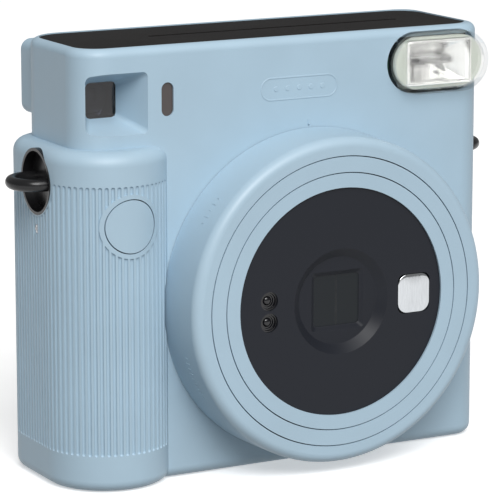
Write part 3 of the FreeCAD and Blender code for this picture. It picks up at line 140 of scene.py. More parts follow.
# ---------------------------------------------------------------- surface effects shared by the finishes

def moulded_grain():
    """The etched texture of a moulding tool, the slow unevenness of the moulding, and pale specks painted as
    sparkle glints.
    """
    tree, given, result = start_effect("Moulded grain", [("Grains per mm", 5.0), ("Fleck", 0.0)],
                                       ["Height", "Mottle", "Fleck"])
    point = place_in_mm(tree)
    fine = noise(tree, point, given["Grains per mm"], 1.0, 0.6)
    coarse = noise(tree, point, calculate(tree, "MULTIPLY", given["Grains per mm"], 0.31), 2.0)
    feed(tree, result["Height"], calculate(tree, "ADD", calculate(tree, "MULTIPLY", fine, 0.7),
                                           calculate(tree, "MULTIPLY", coarse, 0.3)))
    feed(tree, result["Mottle"], spread(tree, noise(tree, point, 0.045, 3.0), 0.35, 0.65, 0.0, 1.0))
    # Pale specks in the colour: painted glints of the grain catching the light.
    sparkle = spread(tree, noise(tree, point, 7.3, 0.0), 0.66, 0.74, 0.0, 1.0)
    feed(tree, result["Fleck"], calculate(tree, "MULTIPLY", sparkle, given["Fleck"]))
    return tree


def rubbed_edges():
    """A painted highlight along the outer edges, where the bevelled normal turns away from the true one,
    patchy along its length.
    """
    tree, given, result = start_effect("Painted edge highlight", [("Reach mm", 0.5), ("Strength", 0.5)], ["Edge"])
    soft = shader_node(tree, "Bevel", samples=4)
    feed(tree, soft.inputs["Radius"], calculate(tree, "MULTIPLY", given["Reach mm"], MM))
    plain = shader_node(tree, "NewGeometry").outputs["Normal"]
    facing = shader_node(tree, "VectorMath", operation="DOT_PRODUCT")
    feed(tree, facing.inputs[0], soft.outputs[0])
    feed(tree, facing.inputs[1], plain)
    turn = calculate(tree, "SUBTRACT", 1.0, facing.outputs["Value"])
    patchy = spread(tree, noise(tree, place_in_mm(tree), 0.35, 3.0), 0.35, 0.6, 0.35, 1.0)
    edge = calculate(tree, "MULTIPLY", spread(tree, turn, 0.01, 0.25, 0.0, 1.0), patchy)
    feed(tree, result["Edge"], calculate(tree, "MULTIPLY", edge, given["Strength"], clamp=True))
    return tree


def settled_dust():
    """A thin film of dust on whatever faces up."""
    tree, given, result = start_effect("Settled dust", [("Amount", 0.2)], ["Dust"])
    parts = shader_node(tree, "SeparateXYZ")
    feed(tree, parts.inputs[0], shader_node(tree, "NewGeometry").outputs["Normal"])
    upward = spread(tree, parts.outputs["Z"], 0.5, 1.0, 0.0, 1.0)
    specks = spread(tree, noise(tree, place_in_mm(tree), 1.7, 4.0, 0.7), 0.45, 0.75, 0.0, 1.0)
    feed(tree, result["Dust"], calculate(tree, "MULTIPLY", calculate(tree, "MULTIPLY", upward, specks),
                                         given["Amount"]))
    return tree


def handling_haze():
    """Faint smears and hairlines on polished faces."""
    tree, given, result = start_effect("Handling haze", [("Amount", 0.1)], ["Haze"])
    smear = spread(tree, noise(tree, place_in_mm(tree), 0.12, 4.0, 0.6), 0.45, 0.7, 0.0, 1.0)
    hair = spread(tree, noise(tree, place_in_mm(tree, (6.0, 1.0, 0.4)), 0.9, 1.0), 0.69, 0.72, 0.0, 0.8)
    feed(tree, result["Haze"], calculate(tree, "MULTIPLY", calculate(tree, "MAXIMUM", smear, hair),
                                         given["Amount"]))
    return tree


def drawn_metal():
    """The lines that rolling or drawing leaves in metal."""
    tree, given, result = start_effect("Drawn metal", [("Lines per mm", 4.0)], ["Height", "Streak"])
    lines = noise(tree, place_in_mm(tree, (1.0, 1.0, 0.06)), given["Lines per mm"], 2.0)
    feed(tree, result["Height"], lines)
    feed(tree, result["Streak"], spread(tree, lines, 0.3, 0.7, 0.0, 1.0))
    return tree


GRAIN = moulded_grain()
# EDGES is the painted edge highlight: it lightens the colour along edges.
EDGES = rubbed_edges()
DUST = settled_dust()
HAZE = handling_haze()
DRAWN = drawn_metal()
DUST_COLOUR = (0.55, 0.54, 0.52, 1.0)


def use(tree, effect, **values):
    """Places an effect in a material with its own values. Spaces in a socket's name are underscores here."""
    made = tree.nodes.new("ShaderNodeGroup")
    made.node_tree = effect
    for label, value in values.items():
        made.inputs[label.replace("_", " ")].default_value = value
    return made.outputs


# ---------------------------------------------------------------- finishes

def start_finish(name, **constants):
    """A material with one Principled surface. Plain constants go straight onto its sockets."""
    material = bpy.data.materials.new(name)
    material.use_nodes = True
    tree = material.node_tree
    surface = tree.nodes["Principled BSDF"]
    for label, value in constants.items():
        surface.inputs[label.replace("_", " ")].default_value = value
    return material, tree, surface.inputs


def bump(tree, surface, height, depth_mm):
    made = shader_node(tree, "Bump")
    made.inputs["Distance"].default_value = depth_mm * MM
    feed(tree, made.inputs["Height"], height)
    feed(tree, surface["Normal"], made.outputs["Normal"])


def tone(colour, factor):
    return tuple(min(1.0, share * factor) for share in colour[:3]) + (1.0,)


def moulded_plastic(name, colour, rough, grains=5.0, depth=0.012, edge_highlight=0.35, dust=0.1, glint=0.0,
                    **constants):
    """Moulded plastic: etched grain, slightly uneven colour and gloss, a painted highlight on the edges,
    painted sparkle glints where asked, and a trace of dust.
    """
    material, tree, surface = start_finish(name, **constants)
    grain = use(tree, GRAIN, Grains_per_mm=grains, Fleck=glint)
    even = blend_colour(tree, grain["Mottle"], tone(colour, 0.975), tone(colour, 1.025))
    # Painted sparkle glints: specks of the colour lifted 2.6 times lighter.
    glinted = blend_colour(tree, grain["Fleck"], even, tone(colour, 2.6))
    # Painted highlight: the edge mask makes the colour paler along edges; the same mask also lowers the
    # roughness there.
    edge = use(tree, EDGES, Reach_mm=0.6, Strength=edge_highlight)["Edge"]
    edge_lit = blend_colour(tree, edge, glinted, tone([share * 0.8 + 0.12 for share in colour], 1.0))
    film = use(tree, DUST, Amount=dust)["Dust"]
    feed(tree, surface["Base Color"], blend_colour(tree, film, edge_lit, DUST_COLOUR))
    gloss = spread(tree, grain["Mottle"], 0.0, 1.0, rough - 0.03, rough + 0.03)
    polished = calculate(tree, "SUBTRACT", gloss, calculate(tree, "MULTIPLY", edge, 0.1))
    feed(tree, surface["Roughness"], calculate(tree, "ADD", polished, calculate(tree, "MULTIPLY", film, 0.4)))
    bump(tree, surface, grain["Height"], depth)
    return material


def clear_plastic(name, colour, rough, haze=0.15, index=1.49, alpha=1.0):
    """Clear moulding or glass, with faint smears in its polish. A low alpha lets light straight through."""
    material, tree, surface = start_finish(name, Metallic=0.0, Transmission_Weight=1.0, IOR=index,
                                           Alpha=alpha)
    smears = use(tree, HAZE, Amount=haze)["Haze"]
    feed(tree, surface["Base Color"], blend_colour(tree, smears, tone(colour, 1.0), tone(colour, 0.93)))
    feed(tree, surface["Roughness"], calculate(tree, "ADD", rough, calculate(tree, "MULTIPLY", smears, 0.2)))
    return material


def polished_dark(name, colour, rough, haze=0.3, **constants):
    """Dark glossy plastic or tinted window seen against darkness."""
    material, tree, surface = start_finish(name, **constants)
    smears = use(tree, HAZE, Amount=haze)["Haze"]
    # Painted highlight: the edges are painted up to 2.5 times lighter than the dark colour.
    edge = use(tree, EDGES, Reach_mm=0.3, Strength=0.4)["Edge"]
    smeared = blend_colour(tree, smears, tone(colour, 1.0), tone(colour, 1.5))
    feed(tree, surface["Base Color"], blend_colour(tree, edge, smeared, tone(colour, 2.5)))
    feed(tree, surface["Roughness"], calculate(tree, "ADD", rough, calculate(tree, "MULTIPLY", smears, 0.25)))
    return material


def metal(name, colour, rough, depth=0.004, haze=0.2):
    """Sheet, wire or plated metal with drawing lines and faint smears."""
    material, tree, surface = start_finish(name, Metallic=1.0)
    lines = use(tree, DRAWN, Lines_per_mm=5.0)
    smears = use(tree, HAZE, Amount=haze)["Haze"]
    streaked = blend_colour(tree, lines["Streak"], tone(colour, 0.9), tone(colour, 1.05))
    feed(tree, surface["Base Color"], blend_colour(tree, smears, streaked, tone(colour, 0.8)))
    feed(tree, surface["Roughness"], calculate(tree, "ADD", rough, calculate(tree, "MULTIPLY", smears, 0.25)))
    bump(tree, surface, lines["Height"], depth)
    return material


def circuit_board(name):
    """Green solder mask with copper tracks showing through."""
    material, tree, surface = start_finish(name, Coat_Weight=0.4, Coat_Roughness=0.2)
    tracks = shader_node(tree, "TexBrick", offset=0.37, squash=1.0)
    feed(tree, tracks.inputs["Vector"], place_in_mm(tree))
    tracks.inputs["Scale"].default_value = 0.45
    tracks.inputs["Mortar Size"].default_value = 0.06
    tracks.inputs["Mortar Smooth"].default_value = 0.2
    mask = tracks.outputs["Fac"]
    film = use(tree, DUST, Amount=0.2)["Dust"]
    laid = blend_colour(tree, mask, (0.012, 0.085, 0.035, 1.0), (0.06, 0.20, 0.08, 1.0))
    feed(tree, surface["Base Color"], blend_colour(tree, film, laid, DUST_COLOUR))
    feed(tree, surface["Roughness"], spread(tree, mask, 0.0, 1.0, 0.45, 0.3))
    bump(tree, surface, mask, 0.03)
    return material


BODY_BLUE = (0.395, 0.535, 0.640)
RING_BLUE = (0.405, 0.545, 0.650)

finishes = {
    "body_blue": moulded_plastic("Body blue", BODY_BLUE, 0.46),
    "ring_blue": moulded_plastic("Barrel blue", RING_BLUE, 0.42),
    # The top panel's pale specks are painted sparkle glints.
    "panel_black": moulded_plastic("Top panel black", (0.011, 0.010, 0.010), 0.62, grains=3.2, depth=0.05,
                                   edge_highlight=0.05, dust=0.03, glint=0.3, Specular_IOR_Level=0.15),
    "face_black": moulded_plastic("Face disc black", (0.014, 0.016, 0.022), 0.42, grains=6.0, depth=0.006,
                                  edge_highlight=0.05, dust=0.0, Specular_IOR_Level=0.2),
    "inner_black": moulded_plastic("Inside black", (0.008, 0.008, 0.010), 0.65, grains=4.0, edge_highlight=0.05,
                                   Specular_IOR_Level=0.2),
    "lug_black": moulded_plastic("Strap lug black", (0.012, 0.012, 0.013), 0.28, grains=6.0, depth=0.004,
                                 edge_highlight=0.0, dust=0.0, Specular_IOR_Level=0.35),
    "mirror_silver": metal("Mirror silver", (0.56, 0.58, 0.60), 0.07, depth=0.0, haze=0.12),
    "clear_cover": clear_plastic("Flash cover clear", (0.95, 0.96, 0.91), 0.03, alpha=0.22),
    "window_glass": clear_plastic("Window glass", (0.22, 0.23, 0.28), 0.02),
    "lens_glass": clear_plastic("Lens glass", (0.80, 0.84, 0.95), 0.0, haze=0.05, index=1.6),
    "reflector_bright": metal("Reflector bright", (0.99, 0.99, 0.97), 0.24, depth=0.003, haze=0.1),
    "tube_glass": clear_plastic("Tube glass", (0.97, 0.97, 0.98), 0.01, haze=0.05, alpha=0.4),
    "steel": metal("Plain steel", (0.58, 0.58, 0.59), 0.32),
    "spring_steel": metal("Spring steel", (0.50, 0.50, 0.52), 0.28),
    "board_green": circuit_board("Board green"),
    "gear_white": moulded_plastic("Gear white", (0.72, 0.71, 0.66), 0.45, edge_highlight=0.1),
    "roller_rubber": moulded_plastic("Roller rubber", (0.028, 0.028, 0.030), 0.75, grains=2.4, depth=0.03),
    "cell_wrap": polished_dark("Cell wrap", (0.05, 0.052, 0.06), 0.25),
    "capacitor_wrap": polished_dark("Capacitor sleeve", (0.02, 0.02, 0.035), 0.3),
    "pack_black": moulded_plastic("Film pack black", (0.03, 0.03, 0.032), 0.5, grains=3.0, depth=0.03),
    "seal_foam": moulded_plastic("Seal foam", (0.014, 0.014, 0.014), 0.95, grains=2.0, depth=0.12, dust=0.2),
    "pill_window": polished_dark("Metering window", (0.060, 0.048, 0.046), 0.14, haze=0.15),
    "barrier_black": moulded_plastic("Lens door black", (0.013, 0.016, 0.019), 0.38, grains=5.0, depth=0.006,
                                     dust=0.0, Specular_IOR_Level=0.2),
}
eye_black = polished_dark("Sensor eye black", (0.006, 0.006, 0.008), 0.08)
flash_bezel_pale = moulded_plastic("Flash bezel pale", (0.60, 0.64, 0.58), 0.35, grains=5.0, depth=0.008)
flash_tab_olive = moulded_plastic("Flash tab olive", (0.115, 0.105, 0.055), 0.4, grains=4.0)
electrode_dark = metal("Electrode dark", (0.16, 0.16, 0.17), 0.35)
print_dark = moulded_plastic("Printed ink", (0.03, 0.03, 0.035), 0.6, grains=6.0, depth=0.004,
                             edge_highlight=0.0, dust=0.0)
cell_brass = metal("Cell cap", (0.72, 0.70, 0.64), 0.25)
cell_band = moulded_plastic("Cell band", (0.42, 0.40, 0.34), 0.35, grains=6.0, depth=0.004)


def dress(thing, material):
    """Gives a piece one material on every slot it has."""
    if not thing.material_slots:
        thing.data.materials.append(material)
    for held in thing.material_slots:
        held.material = material


for entry in frame["record"]["subparts"]:
    dress(cad_nodes[entry["node"]], finishes[entry["material_slot"]])


# ---------------------------------------------------------------- mesh tools

def add_piece(name, solid, body, material, stands_for=(), crease_deg=35.0):
    """Puts a finished mesh into the scene: smooth, creased at its edges, riding on its body."""
    bmesh.ops.remove_doubles(solid, verts=solid.verts, dist=1e-6)
    bmesh.ops.recalc_face_normals(solid, faces=solid.faces)
    mesh = bpy.data.meshes.new(name)
    solid.to_mesh(mesh)
    solid.free()
    mesh.shade_smooth()
    mesh.set_sharp_from_angle(angle=math.radians(crease_deg))
    thing = bpy.data.objects.new(name, mesh)
    bpy.context.scene.collection.objects.link(thing)
    dress(thing, material)
    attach(thing, body)
    if stands_for:
        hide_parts(*stands_for)
    return thing


def rounded_outline(width, height, radius, corner_steps=8):
    """A rounded rectangle round the origin, as (across, up) points."""
    radius = max(min(radius, width / 2, height / 2), 1e-5)
    points = []
    for quarter, (side, top) in enumerate(((1, 1), (-1, 1), (-1, -1), (1, -1))):
        for step in range(corner_steps + 1):
            angle = math.radians(90 * (quarter + step / corner_steps))
            points.append((side * (width / 2 - radius) + radius * math.cos(angle),
                           top * (height / 2 - radius) + radius * math.sin(angle)))
    return points


def loft(solid, layers, close_start=True, close_end=True):
    """Skins a run of matching rings of points. The ends are closed with flat faces."""
    rings = [[solid.verts.new(point) for point in layer] for layer in layers]
    count = len(rings[0])
    for low, high in zip(rings, rings[1:]):
        for n in range(count):
            solid.faces.new((low[n], low[(n + 1) % count], high[(n + 1) % count], high[n]))
    if close_start:
        solid.faces.new(rings[0][::-1])
    if close_end:
        solid.faces.new(rings[-1])


def pane_layer(centre, width, height, radius, inset, y):
    """One ring of a pane that faces along Y: a rounded rectangle taken in by the inset."""
    outline = rounded_outline(width - 2 * inset, height - 2 * inset, radius - inset)
    return [Vector((centre.x + across, y, centre.z + up)) for across, up in outline]


def domed_layers(centre, width, height, radius, y_back, y_edge, crown, facing, edge=0.25 * MM):
    """The rings of a pane with a rounded rim and a face that swells towards the outside."""
    layers = [pane_layer(centre, width, height, radius, 0.0, y_back),
              pane_layer(centre, width, height, radius, 0.0, y_edge - facing * edge)]
    for step in range(1, 4):
        angle = math.radians(30 * step)
        inset = edge * (1 - math.cos(angle))
        layers.append(pane_layer(centre, width, height, radius, inset,
                                 y_edge - facing * edge * (1 - math.sin(angle))))
    rim = [(point.x - centre.x, point.z - centre.z) for point in layers[-1]]
    for share in (0.9, 0.75, 0.55, 0.35, 0.15, 0.04):
        y = y_edge + facing * crown * (1 - share * share)
        layers.append([Vector((centre.x + share * across, y, centre.z + share * up)) for across, up in rim])
    return layers


def domed_pane(name, node, radius, crown, facing, body, material, proud=0.0):
    """A pane that stands for a CAD node and fills its box."""
    low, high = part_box(node)
    centre = (low + high) / 2
    y_back, y_edge = (high.y, low.y) if facing < 0 else (low.y, high.y)
    solid = bmesh.new()
    loft(solid, domed_layers(centre, high.x - low.x, high.z - low.z, radius, y_back,
                             y_edge + facing * proud, crown, facing))
    return add_piece(name, solid, body, material, (node,))


def turn_profile(solid, profile, centre, axis, steps=48):
    """A turned form. The profile is (radius, distance along the axis); a radius of zero is one point."""
    side = axis.orthogonal().normalized()
    other = axis.cross(side)
    rings = []
    for radius, along in profile:
        middle = centre + axis * along
        if radius <= 0:
            rings.append([solid.verts.new(middle)])
            continue
        ring = []
        for n in range(steps):
            angle = 2 * math.pi * n / steps
            ring.append(solid.verts.new(middle + radius * (side * math.cos(angle) + other * math.sin(angle))))
        rings.append(ring)
    for low, high in zip(rings, rings[1:]):
        for n in range(steps):
            corners = [low[n % len(low)], low[(n + 1) % len(low)],
                       high[(n + 1) % len(high)], high[n % len(high)]]
            unique = list(dict.fromkeys(corners))
            if len(unique) > 2:
                solid.faces.new(unique)


def soft_block(solid, centre, size, turn=None, edge=0.12 * MM):
    """A small block with rounded edges, set square to the axes or turned."""
    made = bmesh.ops.create_cube(solid, size=1.0)["verts"]
    bmesh.ops.scale(solid, vec=size, verts=made)
    bevelled = bmesh.ops.bevel(solid, geom=list({e for v in made for e in v.link_edges}), offset=edge,
                               segments=2, affect="EDGES")["verts"]
    place = Matrix.Translation(centre) @ (turn.to_4x4() if turn else Matrix.Identity(4))
    bmesh.ops.transform(solid, matrix=place, verts=list(set(bevelled) | {v for v in made if v.is_valid}))


# ---------------------------------------------------------------- lens face: mirror and sensor eyes

domed_pane("selfie_mirror_domed", "selfie_mirror", 2.9 * MM, 0.35 * MM, FRONTWARD, "inner_barrel",
           finishes["mirror_silver"], proud=0.12 * MM)


def sensor_eyes():
    """Two small domed lenses, each with a stepped collar, at the bottom of their holes."""
    low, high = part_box("metering_lenses")
    radius = (high.x - low.x) / 2
    centre_x = (low.x + high.x) / 2
    solid = bmesh.new()
    for centre_z in (low.z + radius, high.z - radius):
        centre = Vector((centre_x, high.y, centre_z))
        outward = Vector((0, FRONTWARD, 0))
        rim = high.y - low.y
        turn_profile(solid, [(0, 0), (radius * 0.98, 0), (radius * 0.98, rim + 1.1 * MM),
                             (radius * 0.86, rim + 1.1 * MM), (radius * 0.80, rim + 0.5 * MM),
                             (radius * 0.66, rim + 0.5 * MM), (radius * 0.62, rim + 0.1 * MM),
                             (radius * 0.50, rim + 0.1 * MM), (radius * 0.42, rim + 0.45 * MM),
                             (radius * 0.24, rim + 0.72 * MM), (0, rim + 0.8 * MM)], centre, outward)
    return add_piece("sensor_eye_pair", solid, "inner_barrel", eye_black, ("metering_lenses",))


sensor_eyes()


# ---------------------------------------------------------------- flash

cover_low, cover_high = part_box("flash_cover")
bright_low, bright_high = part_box("flash_reflector")
flash_centre = (cover_low + cover_high) / 2
flash_width = cover_high.x - cover_low.x
flash_height = cover_high.z - cover_low.z


def flash_cover_glass():
    """Clear pill-shaped cover: a hollow cap with a rounded rim and a stepped ring round its front."""
    wall = 1.1 * MM
    y_back, y_front = cover_high.y - 0.05 * MM, cover_low.y
    steps = [(2.2 * MM, y_front + wall), (wall + 0.25 * MM, y_front + wall),
             (wall, y_front + wall + 0.25 * MM),
             (wall, y_back), (0.0, y_back), (0.0, y_front + 0.9 * MM), (0.12 * MM, y_front + 0.45 * MM),
             (0.4 * MM, y_front + 0.13 * MM), (0.85 * MM, y_front), (1.75 * MM, y_front),
             (1.95 * MM, y_front + 0.1 * MM), (2.05 * MM, y_front + 0.32 * MM),
             (2.4 * MM, y_front + 0.38 * MM)]
    solid = bmesh.new()
    loft(solid, [pane_layer(flash_centre, flash_width, flash_height, flash_height / 2, inset, y)
                 for inset, y in steps])
    return add_piece("flash_cover_moulded", solid, "camera_body", finishes["clear_cover"],
                     ("flash_cover",))


def flash_bezel():
    """The pale plate inside the cover, with a window for the reflector."""
    y_front, y_back = bright_low.y + 0.6 * MM, bright_low.y + 1.4 * MM
    gap = 0.1 * MM
    width, height = bright_high.x - bright_low.x + 2 * gap, bright_high.z - bright_low.z + 2 * gap
    centre = (bright_low + bright_high) / 2

    def outer(y):
        return pane_layer(flash_centre, flash_width, flash_height, flash_height / 2, 1.25 * MM, y)

    def window(y):
        return pane_layer(centre, width, height, 0.6 * MM, 0.0, y)

    solid = bmesh.new()
    loft(solid, [window(y_back), outer(y_back), outer(y_front), window(y_front), window(y_back)],
         False, False)
    return add_piece("flash_bezel_plate", solid, "camera_body", flash_bezel_pale)


def trough_points(inset=0.0, steps=18):
    """The reflector's section as (y, z, depth share) points: a deep curve from the mouth down to the bottom
    and back.
    """
    half = (bright_high.z - bright_low.z) / 2 - 0.3 * MM - inset
    mouth, bottom = bright_low.y + 0.1 * MM, bright_high.y - 0.9 * MM - inset
    points = []
    for step in range(steps + 1):
        across = 2 * step / steps - 1
        share = 1 - abs(across) ** 2.4
        points.append((mouth + (bottom - mouth) * share, flash_centre.z + half * across, share))
    return points


CHEEK_LEAN = 5.2 * MM


def flash_reflector_bowl():
    """Bright trough with leaning cheeks at both ends."""
    left, right = bright_low.x + 0.35 * MM, bright_high.x - 0.35 * MM
    solid = bmesh.new()
    rows = []
    for y, z, share in trough_points():
        rows.append((solid.verts.new((left + CHEEK_LEAN * share, y, z)),
                     solid.verts.new((right - CHEEK_LEAN * share, y, z))))
    for (a, b), (c, d) in zip(rows, rows[1:]):
        solid.faces.new((a, b, d, c))
    solid.faces.new([row[0] for row in rows])
    solid.faces.new([row[1] for row in reversed(rows)])
    bowl = add_piece("flash_reflector_bowl", solid, "camera_body",
                     finishes["reflector_bright"], ("flash_reflector",), crease_deg=28.0)
    sheet = bowl.modifiers.new("Sheet thickness", "SOLIDIFY")
    sheet.thickness = 0.25 * MM
    sheet.offset = -1.0
    return bowl


def flash_lip():
    """The folded edge of the reflector round its mouth."""
    centre = (bright_low + bright_high) / 2
    width, height = bright_high.x - bright_low.x, bright_high.z - bright_low.z
    rings = [(0.0, bright_low.y + 1.6 * MM), (0.0, bright_low.y + 0.15 * MM), (0.12 * MM, bright_low.y),
             (0.5 * MM, bright_low.y), (0.62 * MM, bright_low.y + 0.2 * MM),
             (0.62 * MM, bright_low.y + 1.6 * MM),
             (0.0, bright_low.y + 1.6 * MM)]
    solid = bmesh.new()
    loft(solid, [pane_layer(centre, width, height, 0.6 * MM, inset, y) for inset, y in rings], False, False)
    return add_piece("flash_reflector_lip", solid, "camera_body",
                     finishes["reflector_bright"])


def glow_tube():
    """Glass tube with a dark electrode in each end."""
    low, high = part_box("flash_tube")
    along = Vector((1, 0, 0))
    start = Vector((low.x, (low.y + high.y) / 2, (low.z + high.z) / 2))
    radius, length = (high.z - low.z) / 2, high.x - low.x
    bore = radius * 0.62
    glass = bmesh.new()
    turn_profile(glass, [(bore, 0), (radius * 0.9, 0), (radius, 0.2 * MM), (radius, length - 0.2 * MM),
                         (radius * 0.9, length), (bore, length), (bore, 0)], start, along, 32)
    add_piece("flash_tube_glass", glass, "camera_body", finishes["tube_glass"], ("flash_tube",))
    electrodes = bmesh.new()
    reach = CHEEK_LEAN + 1.6 * MM
    for base in (0.0, length - reach):
        turn_profile(electrodes, [(0, base), (bore * 0.9, base), (bore * 0.9, base + reach - 0.3 * MM),
                                  (bore * 0.6, base + reach), (0, base + reach)], start, along, 24)
    add_piece("flash_tube_electrodes", electrodes, "camera_body", electrode_dark)


def trigger_strip():
    """The dark strip that crosses the reflector near one end."""
    x0 = bright_high.x - CHEEK_LEAN - 1.75 * MM
    x1 = x0 + 1.3 * MM
    solid = bmesh.new()
    rows = []
    for y, z, share in trough_points(inset=0.12 * MM):
        if abs(z - flash_centre.z) < 4.6 * MM:
            rows.append((solid.verts.new((x0, y, z)), solid.verts.new((x1, y, z))))
    for (a, b), (c, d) in zip(rows, rows[1:]):
        solid.faces.new((a, b, d, c))
    strip = add_piece("flash_trigger_strip", solid, "camera_body", electrode_dark)
    sheet = strip.modifiers.new("Strip thickness", "SOLIDIFY")
    sheet.thickness = 0.1 * MM
    return strip


def flash_tabs():
    """The cover's olive locating tabs: one above the reflector and three below it."""
    solid = bmesh.new()
    top, bottom = cover_high.z - 1.75 * MM, cover_low.z + 1.75 * MM
    middle_y = cover_low.y + 3.9 * MM
    for offset, width, z in ((-1.2 * MM, 4.0 * MM, top), (-6.6 * MM, 3.6 * MM, bottom),
                             (-0.4 * MM, 3.6 * MM, bottom), (4.6 * MM, 2.6 * MM, bottom)):
        soft_block(solid, Vector((flash_centre.x + offset, middle_y, z)), (width, 2.6 * MM, 0.8 * MM))
    return add_piece("flash_cover_tabs", solid, "camera_body", flash_tab_olive)


flash_cover_glass()
flash_bezel()
flash_reflector_bowl()
flash_lip()
glow_tube()
trigger_strip()
flash_tabs()


# ---------------------------------------------------------------- viewfinder, windows on the door

domed_pane("viewfinder_front_glass", "viewfinder_window", 1.2 * MM, 0.15 * MM, FRONTWARD, "camera_body",
           finishes["window_glass"])
domed_pane("eyepiece_glass", "eyepiece_lens", 1.0 * MM, 0.5 * MM, REARWARD, "camera_body",
           finishes["window_glass"])
domed_pane("film_window_pane", "film_window", 2.0 * MM, 0.1 * MM, REARWARD, "film_door",
           finishes["window_glass"])


def finder_lens():
    """The finder's inner lens in its collar, and the bright frame mask in front of it."""
    low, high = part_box("viewfinder_window")
    centre = Vector(((low.x + high.x) / 2, high.y + 6.0 * MM, (low.z + high.z) / 2))
    outward = Vector((0, FRONTWARD, 0))
    collar = bmesh.new()
    turn_profile(collar, [(2.5 * MM, 0), (4.3 * MM, 0), (4.3 * MM, 1.4 * MM), (3.9 * MM, 1.8 * MM),
                          (2.9 * MM, 1.8 * MM), (2.5 * MM, 1.2 * MM), (2.5 * MM, 0)], centre, outward)
    add_piece("finder_lens_collar", collar, "camera_body", eye_black)
    glass = bmesh.new()
    turn_profile(glass, [(0, 0.1 * MM), (2.3 * MM, 0.1 * MM), (2.3 * MM, 0.9 * MM), (1.9 * MM, 1.3 * MM),
                         (1.1 * MM, 1.7 * MM), (0.4 * MM, 1.85 * MM), (0, 1.9 * MM)], centre, outward)
    add_piece("finder_inner_lens", glass, "camera_body", eye_black)
    marks = bmesh.new()
    mark_y = high.y + 1.2 * MM
    for dx, dz, turn_deg in ((-0.3, -3.1, 45), (1.0, -3.1, -45), (0.35, -3.9, 0)):
        soft_block(marks, Vector((centre.x + dx * MM, mark_y, centre.z + dz * MM)),
                   (1.0 * MM, 0.15 * MM, 0.35 * MM), Matrix.Rotation(math.radians(turn_deg), 3, "Y"),
                   0.05 * MM)
    add_piece("finder_frame_marks", marks, "camera_body", finishes["mirror_silver"])


finder_lens()


# ---------------------------------------------------------------- screws, counter and cells

def cross_screw(solid, centre, outward, radius):
    """A pan head whose cross recess is left between four raised quadrants."""
    turn_profile(solid, [(0, -0.9 * MM), (radius, -0.9 * MM), (radius, -0.12 * MM), (radius * 0.94, 0),
                         (0, 0)], centre, outward, 32)
    side = outward.orthogonal().normalized()
    other = outward.cross(side)
    half_slot = 0.16 * radius
    for quarter in range(4):
        corners = []
        for radial in (0.25 * radius, 0.86 * radius):
            for step in range(7):
                angle = math.radians(90 * quarter + 14 + 62 * step / 6)
                spot = (radial * math.cos(angle), radial * math.sin(angle))
                corners.append(spot)
        inner, outer = corners[:7], corners[7:]
        outline = inner[::-1] + outer
        low = [centre + side * a + other * b - outward * half_slot for a, b in outline]
        high = [point + outward * (half_slot + 0.2 * MM) for point in low]
        loft(solid, [low, high])


def case_screw_heads():
    """One screw in the side of the grip and four under the base."""
    shape = cad_nodes["case_screws"].data
    low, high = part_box("case_screws")
    radius = 1.25 * MM
    solid = bmesh.new()
    side = [v.co for v in shape.vertices if v.co.z > high.z - 2.7 * MM]
    side_centre = sum(side, Vector()) / len(side)
    cross_screw(solid, Vector((low.x + 0.2 * MM, side_centre.y, side_centre.z)), Vector((-1, 0, 0)), radius)
    base = [v.co.copy() for v in shape.vertices if v.co.z < 10 * MM]
    centres = []
    for corner in base:
        home = next((group for group in centres if (group[0] - corner).length < 8 * MM), None)
        if home:
            home.append(corner)
        else:
            centres.append([corner])
    for group in centres:
        x = (min(p.x for p in group) + max(p.x for p in group)) / 2
        y = (min(p.y for p in group) + max(p.y for p in group)) / 2
        z = min(p.z for p in group)
        cross_screw(solid, Vector((x, y, z + 0.2 * MM)), Vector((0, 0, -1)), radius)
    return add_piece("case_screw_heads", solid, "camera_body", finishes["steel"], ("case_screws",))


def counter_numbers():
    """The frame numbers round the counter dial, printed on its face."""
    low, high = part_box("counter_dial")
    centre = (low + high) / 2
    for number in range(0, 11):
        angle = math.radians(180 + 30 * number)
        lettering = bpy.data.curves.new("counter_number_%d" % number, "FONT")
        lettering.body = str(number)
        lettering.size = 2.4 * MM
        lettering.align_x = lettering.align_y = "CENTER"
        lettering.extrude = 0.02 * MM
        spot = Vector((centre.x + 4.2 * MM * math.cos(angle), high.y + 0.03 * MM,
                       centre.z + 4.2 * MM * math.sin(angle)))
        numeral = bpy.data.objects.new("counter_number_%d" % number, lettering)
        numeral.matrix_world = Matrix.Translation(spot) @ Matrix.Rotation(math.pi - angle, 4, "Y") \
            @ Matrix.Rotation(math.pi, 4, "Z") @ Matrix.Rotation(math.radians(90), 4, "X")
        bpy.context.scene.collection.objects.link(numeral)
        dress(numeral, print_dark)
        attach(numeral, "counter_dial")


